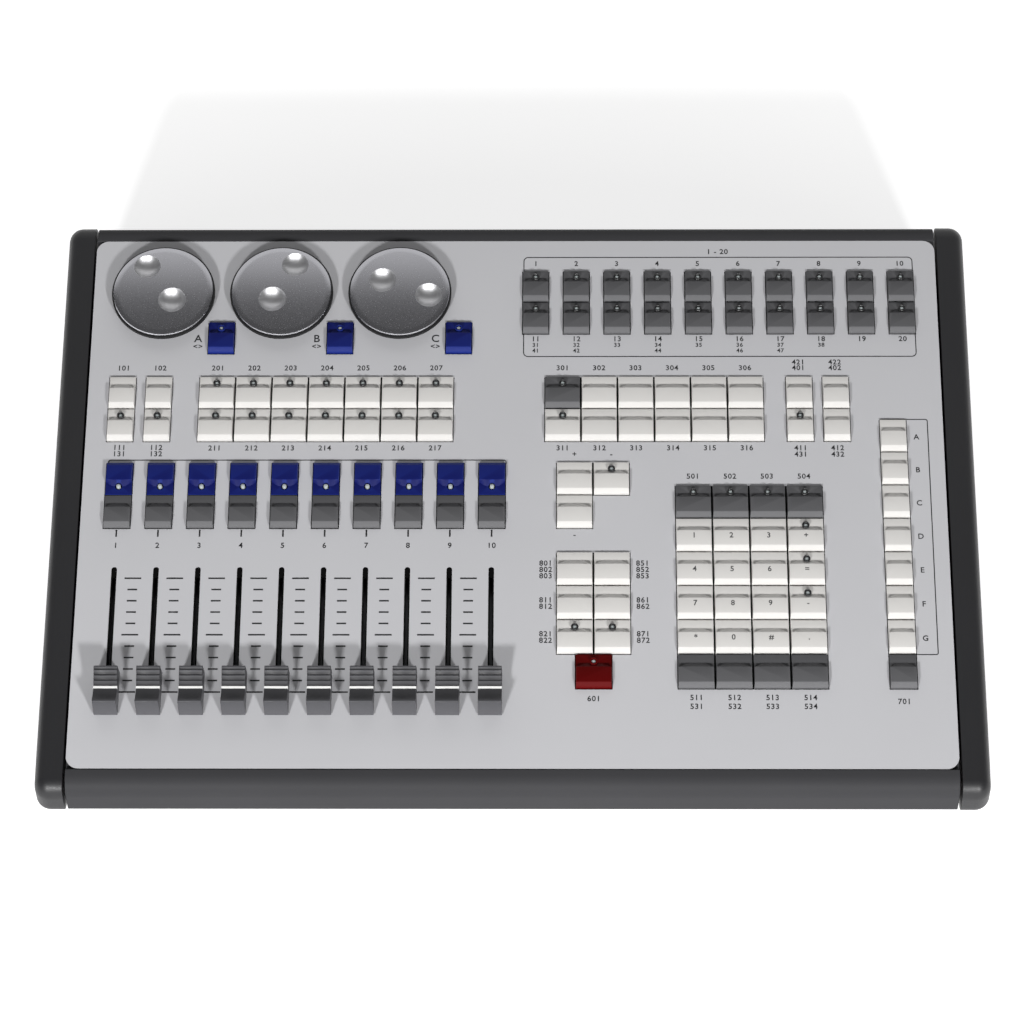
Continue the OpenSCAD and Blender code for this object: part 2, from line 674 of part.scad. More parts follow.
module wheel_disc(i) {
    core_r = wheel_r - grip_t;
    rim_z = wheel_h - wheel_rim_t;
    d = dimples[i];
    color("#8d8e90") on_panel() translate([wheel_at(i), wheel_y, 0]) difference() {
        rotate_extrude() polygon([[0, wheel_lift + wheel_floor_t], [core_r, wheel_lift + wheel_floor_t],
            [core_r, rim_z], [wheel_r, rim_z], [wheel_r, wheel_h - 1.2],
            [wheel_r - 1, wheel_h - 0.3], [wheel_r - 2, wheel_h], [0, wheel_h]]);
        cylinder(r = nut_r + 0.8, h = pocket_z);
        cylinder(r = shaft_d / 2 + 0.02, h = pocket_z + shaft_grip);
        for (p = [[wheel_r - dimple_r - d[0][0], d[0][1]], d[1]])
            translate([p[0] * cos(p[1]), p[0] * sin(p[1]), wheel_h - dimple_sink + dimple_ball_r])
                sphere(dimple_ball_r);
    }
}

module wheel_hub(i) on_panel() translate([wheel_at(i), wheel_y, 0]) {
    color("#161617") rotate_extrude()
        translate([wheel_r - grip_t + 0.02, wheel_h - wheel_rim_t - grip_h])
        square([grip_t - 0.02 + grip_proud, grip_h]);
    shaft_low = -board_drop + encoder_floor + slide_gap;
    color("#b9babb") translate([0, 0, shaft_low])
        cylinder(r = shaft_d / 2, h = pocket_z + shaft_grip - 0.1 - shaft_low);
}

// ---- keys ----

module key_cap(w, lamp) {
    side = [[key_l / 2, skirt_z], [key_l / 2, ledge_h], [key_l / 2 - ledge_d, ledge_h],
        [key_l / 2 - ledge_d - slope_d, key_h], [-key_l / 2 + bevel_d, key_h],
        [-key_l / 2, bevel_h], [-key_l / 2, skirt_z]];
    front = [[-w / 2, skirt_z], [w / 2, skirt_z], [w / 2, side_bevel_z],
        [w / 2 - side_bevel, key_h + 0.1], [-w / 2 + side_bevel, key_h + 0.1],
        [-w / 2, side_bevel_z]];
    inner_w = w - 2 * key_wall;
    inner_l = key_l - 2 * key_wall;
    inner_top = min(ledge_h, bevel_h) - key_wall - 0.1;
    difference() {
        intersection() {
            across(w) polygon(side);
            rotate([90, 0, 0]) linear_extrude(key_l, center = true) polygon(front);
        }
        difference() {
            translate([-inner_w / 2, -inner_l / 2, skirt_z - 1])
                cube([inner_w, inner_l, inner_top - skirt_z + 1]);
            translate([-stem_w / 2, -stem_w / 2, skirt_z - 2]) cube([stem_w, stem_w, 10]);
        }
        if (lamp) translate([0, key_l / 2 - lamp_inset, skirt_z - 1])
            cylinder(r = lamp_hole_d / 2, h = key_h - skirt_z + 2);
    }
    translate([-stem_w / 2, -stem_w / 2, stem_end]) cube([stem_w, stem_w, skirt_z - stem_end]);
}

module key_bank(keys) on_panel() for (k = keys) translate([k[0], k[1], 0])
    rotate([0, 0, k[4] ? 180 : 0]) key_cap(k[2], k[3]);

module wheel_key_a() color(key_blue) key_bank(wheel_key(0));
module wheel_key_b() color(key_blue) key_bank(wheel_key(1));
module wheel_key_c() color(key_blue) key_bank(wheel_key(2));
module fixture_keys() color(key_white) key_bank(fixture_list);
module attribute_keys() color(key_white) key_bank(attribute_list);
module flash_keys() color(key_blue) key_bank(flash_list);
module select_keys() color(key_grey) key_bank(select_list);
module executor_keys() color(key_grey) key_bank(executor_list);
module record_key() color(key_dark) key_bank(record_list);
module menu_keys() color(key_white) key_bank(menu_list);
module window_keys() color(key_white) key_bank(window_list);
module page_keys() color(key_white) key_bank(page_list);
module cue_keys() color(key_white) key_bank(cue_list);
module go_key() color(key_red) key_bank(go_list);
module keypad_upper_keys() color(key_grey) key_bank(keypad_upper_list);
module keypad_keys() color(key_white) key_bank(keypad_list);
module keypad_lower_keys() color(key_grey) key_bank(keypad_lower_list);
module soft_keys() color(key_white) key_bank(soft_list);
module locate_key() color(key_grey) key_bank(locate_list);

// ---- boards, supply and wiring on the tray ----

processor_pillars = [for (x = [board_hole_inset, processor[2] - board_hole_inset],
    y = [board_hole_inset, processor[3] - board_hole_inset]) [processor[0] + x, processor[1] + y]];
board_header_z = under_line(ribbon_y, board_drop + board_t) - 9;
processor_top = tray_z + pillar_h + board_t;

module processor_board() color("#1d3b2a") {
    difference() {
        translate([processor[0], processor[1], tray_z + pillar_h])
            cube([processor[2], processor[3], board_t]);
        for (p = processor_pillars) translate([p[0], p[1], tray_z]) cylinder(r = hole_r, h = 20);
    }
    translate([processor[0] + 30, processor[1] + 30, processor_top]) cube([28, 28, 2.4]);
    translate([processor[0] + 95, processor[1] + 30, processor_top]) cube([20, 14, 1.8]);
    translate([ribbon_x - header[0] / 2, ribbon_y - header[1] / 2, processor_top]) cube(header);
}

// Flat ribbon from the processor board up to the key board, and the supply lead
module internal_wiring() {
    color("#a9abad") translate([ribbon_x, 0, 0]) {
        low = processor_top + header[2];
        mid = (low + board_header_z) / 2;
        across(ribbon_w) {
            translate([ribbon_y, low]) square([ribbon_t, mid - low]);
            translate([ribbon_y, mid - ribbon_t]) square([ribbon_step, ribbon_t]);
            translate([ribbon_y + ribbon_step - ribbon_t, mid - ribbon_t]) square([ribbon_t,
                under_line(ribbon_y + ribbon_step, board_drop + board_t) - mid + ribbon_t - 0.2]);
        }
    }
    color("#7a1418") translate([processor[0] + processor[2], processor[1] + 70, processor_top + 3])
        rotate([0, 90, 0]) cylinder(r = 1.5, h = supply[0] - processor[0] - processor[2]);
    color("#3a3a3c") translate([inlet_x, supply[1] + supply[3], connector_z - 8])
        rotate([-90, 0, 0]) cylinder(r = 2.5,
            h = sheet_face_y - inlet_depth - supply[1] - supply[3]);
}

module power_supply() color("#9a9b9d") {
    translate([supply[0], supply[1], tray_z]) cube([supply[2], supply[3], supply_h]);
}

// ---- rear connectors ----

module mains_inlet() on_rear(inlet_x) {
    color("#1b1b1c") difference() {
        union() {
            translate([-inlet_flange[0] / 2, -inlet_flange[1] / 2, 0])
                cube([inlet_flange[0], inlet_flange[1], flange_t]);
            translate([-inlet_w / 2, -inlet_h / 2, -inlet_depth]) cube([inlet_w, inlet_h, inlet_depth]);
        }
        translate([-inlet_w / 2 + 1.2, -inlet_h / 2 + 1.7, -inlet_depth + inlet_floor])
            cube([inlet_w - 2.4, inlet_h - 3.4, inlet_depth + flange_t]);
        inlet_holes();
    }
    color("#c4b27a") for (p = inlet_pins)
        translate([p[0] - 1, p[1] - 2, -inlet_depth + inlet_floor]) cube([2, 4, 14]);
}

module switch_housing() color("#1b1b1c") on_rear(rocker_x) difference() {
    union() {
        translate([-switch_plate[0] / 2, -switch_plate[1] / 2, 0])
            cube([switch_plate[0], switch_plate[1], flange_t]);
        translate([-switch_body[0] / 2, -switch_body[1] / 2, -switch_depth])
            cube([switch_body[0], switch_body[1], switch_depth]);
    }
    translate([-rocker_w / 2 - slide_gap, -9.4, -switch_depth + 1.5])
        cube([rocker_w + 2 * slide_gap, 18.8, switch_depth + 2]);
    rotate([0, 90, 0]) cylinder(r = pivot_r + turn_gap, h = switch_body[0] + 2, center = true);
}

module power_rocker() color("#8f1016") on_rear(rocker_x) rotate([rocker_tilt, 0, 0]) {
    rotate([90, 0, 90]) linear_extrude(rocker_w, center = true)
        polygon([[-8, -0.6], [-8, 2.5], [0, 1.3], [8, 2.5], [8, -0.6], [3, -5], [-3, -5]]);
    rotate([0, 90, 0]) cylinder(r = pivot_r, h = switch_body[0] - 0.6, center = true);
}

// Five-pole round socket: a shell with a ring-shaped gap round its insert
module dmx_sockets() for (x = dmx_x) on_rear(x) {
    color("#1b1b1c") difference() {
        union() {
            translate([-flange_w / 2, -flange_h / 2, 0]) cube([flange_w, flange_h, flange_t]);
            translate([0, 0, -barrel_d]) cylinder(r = barrel_r, h = barrel_d);
        }
        translate([0, 0, -barrel_d + socket_floor]) cylinder(r = socket_r, h = barrel_d);
        flange_holes();
    }
    color("#3a3a3c") translate([0, 0, -barrel_d + socket_floor + press_gap]) difference() {
        cylinder(r = insert_r, h = barrel_d - 2);
        for (a = [0:4]) rotate([0, 0, 18 + 60 * a]) translate([contact_r, 0, 3])
            cylinder(r = 1.3, h = barrel_d);
    }
}

// Two data sockets, one square and one flat, each with its contact tongue
module usb_sockets() for (i = [0:1]) on_rear(usb_x[i]) {
    p = usb_ports[i];
    color("#1b1b1c") difference() {
        union() {
            translate([-flange_w / 2, -flange_h / 2, 0]) cube([flange_w, flange_h, flange_t]);
            translate([0, 0, -barrel_d]) cylinder(r = barrel_r, h = barrel_d);
        }
        translate([-p[0] / 2, -p[1] / 2, -usb_depth]) cube([p[0], p[1], usb_depth + 4]);
        flange_holes();
    }
    color("#e8e8e4") translate([-p[2] / 2, -p[3] / 2, -usb_depth + press_gap])
        cube([p[2], p[3], usb_depth - 1]);
}

top_panel();
front_rail();
rear_rail();
base_tray();
rear_panel();
side_plates();
left_cheek();
right_cheek();
feet();
case_screws();
key_board();
key_switches();
key_lamps();
board_pillars();
fader_frames();
encoder_housings();
encoder_nuts();
processor_board();
power_supply();
internal_wiring();
mains_inlet();
switch_housing();
dmx_sockets();
usb_sockets();
power_rocker();
fader(0);  // fader_1
fader(1);  // fader_2
fader(2);  // fader_3
fader(3);  // fader_4
fader(4);  // fader_5
fader(5);  // fader_6
fader(6);  // fader_7
fader(7);  // fader_8
fader(8);  // fader_9
fader(9);  // fader_10
wheel_disc(0);  // wheel_disc_a
wheel_disc(1);  // wheel_disc_b
wheel_disc(2);  // wheel_disc_c
wheel_hub(0);  // wheel_hub_a
wheel_hub(1);  // wheel_hub_b
wheel_hub(2);  // wheel_hub_c
wheel_key_a();
wheel_key_b();
wheel_key_c();
fixture_keys();
attribute_keys();
flash_keys();
select_keys();
executor_keys();
record_key();
menu_keys();
window_keys();
page_keys();
cue_keys();
go_key();
keypad_upper_keys();
keypad_keys();
keypad_lower_keys();
soft_keys();
locate_key();
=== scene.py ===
import bpy
import bmesh
import json
import math
from mathutils import Matrix, Vector


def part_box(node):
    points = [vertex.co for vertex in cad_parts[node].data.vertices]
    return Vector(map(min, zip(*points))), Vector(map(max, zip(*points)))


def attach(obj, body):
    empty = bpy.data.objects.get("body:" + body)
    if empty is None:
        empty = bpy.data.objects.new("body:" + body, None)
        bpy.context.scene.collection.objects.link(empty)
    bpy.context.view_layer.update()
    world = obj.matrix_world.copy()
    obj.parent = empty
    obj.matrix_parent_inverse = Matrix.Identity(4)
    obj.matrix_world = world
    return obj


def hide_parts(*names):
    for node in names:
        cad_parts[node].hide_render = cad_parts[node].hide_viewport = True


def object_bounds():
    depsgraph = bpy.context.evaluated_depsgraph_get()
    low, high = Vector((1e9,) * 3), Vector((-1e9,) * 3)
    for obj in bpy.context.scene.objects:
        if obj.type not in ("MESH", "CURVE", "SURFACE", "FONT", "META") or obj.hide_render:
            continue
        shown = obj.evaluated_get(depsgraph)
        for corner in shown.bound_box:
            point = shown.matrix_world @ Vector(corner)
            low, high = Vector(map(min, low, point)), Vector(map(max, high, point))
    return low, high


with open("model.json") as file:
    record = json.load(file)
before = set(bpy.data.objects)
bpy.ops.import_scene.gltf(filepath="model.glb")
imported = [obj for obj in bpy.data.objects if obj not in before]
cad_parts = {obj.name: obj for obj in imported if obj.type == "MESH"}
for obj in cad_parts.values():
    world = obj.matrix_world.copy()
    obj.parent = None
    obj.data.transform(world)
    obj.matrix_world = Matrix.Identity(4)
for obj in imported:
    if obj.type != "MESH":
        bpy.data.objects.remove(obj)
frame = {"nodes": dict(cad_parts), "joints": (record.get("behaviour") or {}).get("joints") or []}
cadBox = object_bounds()

mm = 0.001
desk = "desk"
wheelNames = ["a", "b", "c"]
faderCount = 10


# The panel's own plane: x across, y from its front edge, z above it
slide = next(j for j in frame["joints"] if j["name"] == "fader_1_slide")
tilt = math.atan2(slide["axis"][2], slide["axis"][1])
low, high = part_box("top_panel")
span = high - low
panelDepth = (span.y * math.cos(tilt) - span.z * math.sin(tilt)) / math.cos(2 * tilt)
panelThick = (span.z * math.cos(tilt) - span.y * math.sin(tilt)) / math.cos(2 * tilt)
panelZ = high.z - panelDepth * math.sin(tilt)
toDesk = Matrix.Translation((0, low.y, panelZ)) @ Matrix.Rotation(tilt, 4, "X")
toPanel = toDesk.inverted()
panelUp = Vector((0, -math.sin(tilt), math.cos(tilt)))
panelLevel = panelUp.dot(toDesk.translation)  # the panel's top face along panelUp


def clearSelection():
    bpy.ops.object.select_all(action="DESELECT")


def focus(piece):
    clearSelection()
    bpy.context.view_layer.objects.active = piece
    piece.select_set(True)


def edit(piece, mode="VERT"):
    focus(piece)
    bpy.ops.object.mode_set(mode="EDIT")
    bpy.ops.mesh.select_mode(type=mode)


def pick(piece, kind, test):
    mesh = bmesh.from_edit_mesh(piece.data)
    bpy.ops.mesh.select_all(action="DESELECT")
    for item in getattr(mesh, kind):
        item.select_set(test(item))
    mesh.select_flush_mode()
    bmesh.update_edit_mesh(piece.data)


def pickVerts(piece, test):
    pick(piece, "verts", lambda v: test(v.co))


def endEdit():
    bpy.ops.object.mode_set(mode="OBJECT")


def cut(point, normal):
    bpy.ops.mesh.select_all(action="SELECT")
    bpy.ops.mesh.bisect(plane_co=point, plane_no=normal)


def applyModifiers(piece):
    focus(piece)
    for modifier in list(piece.modifiers):
        bpy.ops.object.modifier_apply(modifier=modifier.name)


def softEdges(piece, width, segments=2, angle=30):
    bevel = piece.modifiers.new("edges", "BEVEL")
    bevel.width = width
    bevel.segments = segments
    bevel.limit_method = "ANGLE"
    bevel.angle_limit = math.radians(angle)
    applyModifiers(piece)


def smooth(piece, angle=35):
    focus(piece)
    bpy.ops.object.shade_smooth_by_angle(angle=math.radians(angle))


# Large flat faces keep their own normals beside round edges
def weigh(piece):
    modifier = piece.modifiers.new("weigh", "WEIGHTED_NORMAL")
    modifier.keep_sharp = True
    modifier.weight = 80
    applyModifiers(piece)


def tidyNormals(piece):
    edit(piece)
    bpy.ops.mesh.select_all(action="SELECT")
    bpy.ops.mesh.remove_doubles(threshold=1e-6)
    bpy.ops.mesh.normals_make_consistent(inside=False)
    endEdit()


def place(piece, matrix):
    piece.data.transform(matrix)
    piece.data.update()


def combine(piece, other, operation="DIFFERENCE"):
    boolean = piece.modifiers.new("boolean", "BOOLEAN")
    boolean.operation = operation
    boolean.solver = "EXACT"
    boolean.object = other
    applyModifiers(piece)
    bpy.data.objects.remove(other)


def copyOf(piece, name):
    twin = piece.copy()
    twin.data = piece.data.copy()
    twin.name = name
    bpy.context.scene.collection.objects.link(twin)
    return twin


def joinAll(pieces, name):
    focus(pieces[0])
    for other in pieces[1:]:
        other.select_set(True)
    if len(pieces) > 1:
        bpy.ops.object.join()
    pieces[0].name = name
    return pieces[0]


def paint(piece, finish):
    piece.data.materials.clear()
    piece.data.materials.append(finishes[finish])


# Dresses a piece, hides the CAD node it stands for and sets it on its body
def fit(piece, finish, body, node=None):
    if finish:
        paint(piece, finish)
    if node:
        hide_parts(node)
    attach(piece, body)


def boxPiece(name, x0, x1, y0, y1, z0, z1):
    clearSelection()
    bpy.ops.mesh.primitive_cube_add(size=1)
    piece = bpy.context.object
    piece.name = name
    size = Matrix.Diagonal((x1 - x0, y1 - y0, z1 - z0, 1))
    place(piece, Matrix.Translation(((x0 + x1) / 2, (y0 + y1) / 2, (z0 + z1) / 2)) @ size)
    return piece


# A line of points drawn by extruding a single vertex
def drawLine(name, points):
    clearSelection()
    bpy.ops.mesh.primitive_plane_add(size=1)
    piece = bpy.context.object
    piece.name = name
    edit(piece)
    bpy.ops.mesh.select_all(action="SELECT")
    bpy.ops.mesh.merge(type="CENTER")
    bpy.ops.transform.translate(value=points[0])
    for first, second in zip(points, points[1:]):
        step = Vector(second) - Vector(first)
        bpy.ops.mesh.extrude_vertices_move(TRANSFORM_OT_translate={"value": step})
    return piece


# A side outline in (y, z), run across in x
def prism(name, outline, x0, x1):
    piece = drawLine(name, [(x0, y, z) for y, z in outline])
    bpy.ops.mesh.select_all(action="SELECT")
    bpy.ops.mesh.edge_face_add()
    bpy.ops.mesh.extrude_region_move(TRANSFORM_OT_translate={"value": (x1 - x0, 0, 0)})
    bpy.ops.mesh.select_all(action="SELECT")
    bpy.ops.mesh.normals_make_consistent(inside=False)
    endEdit()
    return piece


# An outline in (distance from the axis, z), turned round the upright axis
def lathe(name, outline, sides):
    piece = drawLine(name, [(r, 0, z) for r, z in outline])
    bpy.ops.mesh.select_all(action="SELECT")
    bpy.ops.mesh.spin(steps=sides, angle=2 * math.pi, center=(0, 0, 0), axis=(0, 0, 1))
    endEdit()
    tidyNormals(piece)
    return piece


# Separate solids of a CAD node, as boxes in the panel's plane
def solidsOf(node):
    mesh = bmesh.new()
    mesh.from_mesh(frame["nodes"][node].data)
    bmesh.ops.remove_doubles(mesh, verts=mesh.verts, dist=1e-6)
    seen = set()
    boxes = []
    for first in mesh.verts:
        if first in seen:
            continue
        stack, group = [first], []
        seen.add(first)
        while stack:
            vert = stack.pop()
            group.append(toPanel @ vert.co)
            for edge in vert.link_edges:
                other = edge.other_vert(vert)
                if other not in seen:
                    seen.add(other)
                    stack.append(other)
        lowest = Vector([min(p[i] for p in group) for i in range(3)])
        highest = Vector([max(p[i] for p in group) for i in range(3)])
        boxes.append((lowest, highest))
    mesh.free()
    boxes.sort(key=lambda b: (round(b[0].y, 4), round(b[0].x, 4)))
    return boxes


print("frame read")


# The shader nodes of one procedural material
class Nodes:
    def __init__(self, name):
        self.material = bpy.data.materials.new(name)
        self.material.use_nodes = True
        self.tree = self.material.node_tree
        self.shader = self.tree.nodes["Principled BSDF"]
        self.place = self.add("ShaderNodeTexCoord").outputs["Object"]

    def add(self, kind, **values):
        node = self.tree.nodes.new(kind)
        for key, value in values.items():
            setattr(node, key, value)
        return node

    def link(self, source, target):
        self.tree.links.new(source, target)

    def noise(self, scale, detail=3):
        noise = self.add("ShaderNodeTexNoise")
        noise.inputs["Scale"].default_value = scale
        noise.inputs["Detail"].default_value = detail
        self.link(self.place, noise.inputs["Vector"])
        return noise.outputs["Fac"]

    def spread(self, source, fromLow, fromHigh, toLow, toHigh):
        spread = self.add("ShaderNodeMapRange")
        spread.inputs["From Min"].default_value = fromLow
        spread.inputs["From Max"].default_value = fromHigh
        spread.inputs["To Min"].default_value = toLow
        spread.inputs["To Max"].default_value = toHigh
        self.link(source, spread.inputs["Value"])
        return spread.outputs["Result"]

    def blend(self, factor, first, second):
        mix = self.add("ShaderNodeMix", data_type="RGBA")
        self.link(factor, mix.inputs["Factor"])
        for socket, value in ((mix.inputs[6], first), (mix.inputs[7], second)):
            if isinstance(value, bpy.types.NodeSocket):
                self.link(value, socket)
            else:
                socket.default_value = value
        return mix.outputs[2]

    def bump(self, height, strength, distance):
        bump = self.add("ShaderNodeBump")
        bump.inputs["Strength"].default_value = strength
        bump.inputs["Distance"].default_value = distance
        self.link(height, bump.inputs["Height"])
        return bump.outputs["Normal"]

    # Height above the panel's top face
    def rise(self):
        dot = self.add("ShaderNodeVectorMath", operation="DOT_PRODUCT")
        dot.inputs[1].default_value = panelUp
        self.link(self.place, dot.inputs[0])
        return self.spread(dot.outputs["Value"], panelLevel - 1, panelLevel + 1, -1, 1)


def colour(hexText):
    parts = [int(hexText[i:i + 2], 16) / 255 for i in (1, 3, 5)]
    return [(c / 12.92 if c <= 0.04045 else ((c + 0.055) / 1.055) ** 2.4) for c in parts] + [1]


def shade(rgba, factor):
    return [min(1, c * factor) for c in rgba[:3]] + [1]


# Coated, moulded or turned surface: mottled colour, fine grain, lighter edges that are wear and
# painted highlight together,
# and painted shade: a dark colour on the cut edges below the panel's top face, where one is asked
# for
def surface(name, base, rough, grain, bumpSize, bumpStrength, mottle=0.05, metallic=0.0,
            edgeWearAndSheen=None, specular=0.5, cutEdgeShade=None):
    n = Nodes(name)
    base = colour(base)
    broad = n.noise(18, 4)
    fine = n.noise(grain)
    tone = n.blend(n.spread(broad, 0.3, 0.7, 0, 1), shade(base, 1 - mottle),
                   shade(base, 1 + mottle))
    tone = n.blend(n.spread(fine, 0.35, 0.65, 0, mottle * 2), tone, shade(base, 1.3))
    if edgeWearAndSheen:
        # Painted highlight and wear: a lighter colour where edges and ribs are sharp (high
        # Pointiness)
        pointy = n.add("ShaderNodeNewGeometry").outputs["Pointiness"]
        tone = n.blend(n.spread(pointy, 0.52, 0.60, 0, 1), tone, colour(edgeWearAndSheen))
    # Painted shade: a near-black colour on every face more than 0.3 mm below the panel's top face,
    # the walls of its openings and its edges
    if cutEdgeShade:
        tone = n.blend(n.spread(n.rise(), -0.3 * mm, -0.15 * mm, 1, 0), tone, colour(cutEdgeShade))
    n.link(tone, n.shader.inputs["Base Color"])
    n.link(n.spread(fine, 0.3, 0.7, rough - 0.06, rough + 0.06), n.shader.inputs["Roughness"])
    n.link(n.bump(fine, bumpStrength, bumpSize), n.shader.inputs["Normal"])
    n.shader.inputs["Metallic"].default_value = metallic
    n.shader.inputs["Specular IOR Level"].default_value = specular
    return n.material


finishes = {
    # The panel's paint carries painted shade on its cut edges
    "panelPaint": surface("panelPaint", "#bebec1", 0.48, 2600, 0.00003, 0.2, mottle=0.01,
                          specular=0.3, cutEdgeShade="#1a1a1b"),
    "railPaint": surface("railPaint", "#3c3c3e", 0.5, 2200, 0.00004, 0.25, mottle=0.03,
                         specular=0.06),
    "cheekPlastic": surface("cheekPlastic", "#242426", 0.42, 1500, 0.00007, 0.35, mottle=0.04,
                            specular=0.4),
    "blackSheet": surface("blackSheet", "#1b1b1c", 0.52, 1400, 0.0001, 0.6, mottle=0.06),
    "footRubber": surface("footRubber", "#141415", 0.78, 900, 0.00015, 0.5, mottle=0.1),
    "screwSteel": surface("screwSteel", "#8d8e91", 0.32, 1500, 0.00004, 0.3, metallic=1.0),
    "circuitBoard": surface("circuitBoard", "#123524", 0.38, 600, 0.00005, 0.3, mottle=0.14),
    "switchPlastic": surface("switchPlastic", "#161617", 0.44, 1300, 0.00006, 0.35),
    "lensPlastic": surface("lensPlastic", "#a9b0b0", 0.35, 1200, 0.00002, 0.2, mottle=0.04),
    # Painted shade: the dark colour of the lamp collars stands in for the shade in the lamp holes
    "bezelPlastic": surface("bezelPlastic", "#2b2b2c", 0.35, 1600, 0.00003, 0.3),
    "pressedSteel": surface("pressedSteel", "#77797c", 0.36, 900, 0.00005, 0.3, metallic=1.0),
    "supplyCase": surface("supplyCase", "#8e9092", 0.38, 700, 0.00005, 0.3, metallic=1.0),
    "cableSleeve": surface("cableSleeve", "#5b5c5e", 0.6, 1200, 0.00005, 0.3),
    "rockerPlastic": surface("rockerPlastic", "#7d1013", 0.28, 1500, 0.00003, 0.2),
    "slotFelt": surface("slotFelt", "#050505", 0.95, 2400, 0.0001, 0.6, specular=0.1),
    # The fader caps' lighter ribs and edges are painted highlight and wear
    "capPlastic": surface("capPlastic", "#323234", 0.4, 1700, 0.00004, 0.3, mottle=0.04,
                          edgeWearAndSheen="#68686c", specular=0.15),
    "wheelMetal": surface("wheelMetal", "#bcbcc1", 0.22, 1900, 0.00001, 0.12, mottle=0.02,
                          metallic=1.0),
    # A rougher and lighter copy of the wheel metal for the dimples; the lighter colour is painted
    # highlight
    "dimpleMetal": surface("dimpleMetal", "#d2d2d4", 0.42, 1900, 0.00001, 0.12, mottle=0.02,
                           metallic=1.0),
    "wheelGrip": surface("wheelGrip", "#0b0b0c", 0.6, 1400, 0.0001, 0.5),
    # The keys' lighter edges are painted highlight and wear
    "blueKey": surface("blueKey", "#11195a", 0.5, 1900, 0.00004, 0.3, mottle=0.04,
                       edgeWearAndSheen="#1d2c78", specular=0.1),
    "whiteKey": surface("whiteKey", "#d3d1ce", 0.5, 1900, 0.00003, 0.2, mottle=0.012,
                        specular=0.15),
    "greyKey": surface("greyKey", "#525254", 0.6, 1900, 0.00004, 0.3, mottle=0.03,
                       edgeWearAndSheen="#69696b", specular=0.1),
    "darkKey": surface("darkKey", "#545456", 0.6, 1900, 0.00004, 0.3, mottle=0.03,
                       edgeWearAndSheen="#6a6a6c", specular=0.1),
    "redKey": surface("redKey", "#4c0303", 0.5, 1900, 0.00004, 0.3, mottle=0.04,
                      edgeWearAndSheen="#5c0a0c", specular=0.06),
    "ink": surface("ink", "#1d1d1f", 0.5, 3000, 0.00001, 0.2, mottle=0.1),
    "keyInk": surface("keyInk", "#4a4a4b", 0.5, 3000, 0.00001, 0.2, mottle=0.1),
    "lineWhite": surface("lineWhite", "#f4f4f2", 0.4, 2200, 0.00002, 0.2, mottle=0.02),
}

nodeFinish = {
    "top_panel": "panelPaint", "base_tray": "blackSheet", "rear_panel": "blackSheet",
    "side_plates": "blackSheet", "feet": "footRubber", "case_screws": "screwSteel",
    "board_pillars": "screwSteel", "encoder_nuts": "screwSteel", "key_board": "circuitBoard",
    "processor_board": "circuitBoard", "key_switches": "switchPlastic",
    "switch_housing": "switchPlastic", "mains_inlet": "switchPlastic",
    "dmx_sockets": "switchPlastic", "usb_sockets": "switchPlastic",
    "fader_frames": "pressedSteel", "encoder_housings": "pressedSteel",
    "power_supply": "supplyCase", "internal_wiring": "cableSleeve", "power_rocker": "rockerPlastic",
    "wheel_hub_a": "wheelGrip", "wheel_hub_b": "wheelGrip", "wheel_hub_c": "wheelGrip",
}
for node, finish in nodeFinish.items():
    paint(frame["nodes"][node], finish)
print("finishes made")


# Rails and cheeks: the CAD shapes with their edges eased and their rounds smoothed
caseParts = {"front_rail": ("railPaint", "rail_paint"), "rear_rail": ("railPaint", "rail_paint"),
             "left_cheek": ("cheekPlastic", "cheek_plastic"),
             "right_cheek": ("cheekPlastic", "cheek_plastic")}
caseEdge = {"flat": 0.6, "width": 0.35 * mm, "sharp": 40}

for node, (finish, slot) in caseParts.items():
    piece = copyOf(frame["nodes"][node], node.replace("_", "-") + "-shell")
    tidyNormals(piece)
    edit(piece)
    bpy.ops.mesh.select_all(action="SELECT")
    bpy.ops.mesh.dissolve_limited(angle_limit=math.radians(caseEdge["flat"]))
    endEdit()
    softEdges(piece, caseEdge["width"], 2, caseEdge["sharp"])
    smooth(piece, caseEdge["sharp"])
    weigh(piece)
    fit(piece, finish, desk, node)
print("case parts smoothed")


# A key's cap: a finger face, a slope down to a ledge behind it and a bevel at its front
keyCap = {"skirt": -3 * mm, "top": 3.2 * mm, "ledge": 1.1 * mm, "ledgeDepth": 4.4 * mm,
          "slopeDepth": 2.8 * mm, "arch": 2.5 * mm, "archCuts": 7, "archEnd": 0.88, "archPower": 5,
          "frontDepth": 2.1 * mm, "frontTop": 1.5 * mm, "frontGap": 0.4 * mm,
          "taper": 0.25 * mm, "taperStart": 0.6 * mm, "edge": 0.2 * mm, "smooth": 28,
          "wall": 1.1 * mm, "ceiling": 0.5 * mm, "stem": 3 * mm, "stemRoot": 0.3 * mm,
          "stemEnd": -8.5 * mm, "lampInset": 4.2 * mm, "lampHole": 3.4 * mm, "lampSides": 24}

keyBanks = {
    "wheel_key_a": "blueKey", "wheel_key_b": "blueKey", "wheel_key_c": "blueKey",
    "fixture_keys": "whiteKey", "attribute_keys": "whiteKey", "flash_keys": "blueKey",
    "select_keys": "greyKey", "executor_keys": "greyKey", "record_key": "darkKey",
    "menu_keys": "whiteKey", "window_keys": "whiteKey", "page_keys": "whiteKey",
    "cue_keys": "whiteKey", "go_key": "redKey", "keypad_upper_keys": "greyKey",
    "keypad_keys": "whiteKey", "keypad_lower_keys": "greyKey", "soft_keys": "whiteKey",
    "locate_key": "greyKey"}


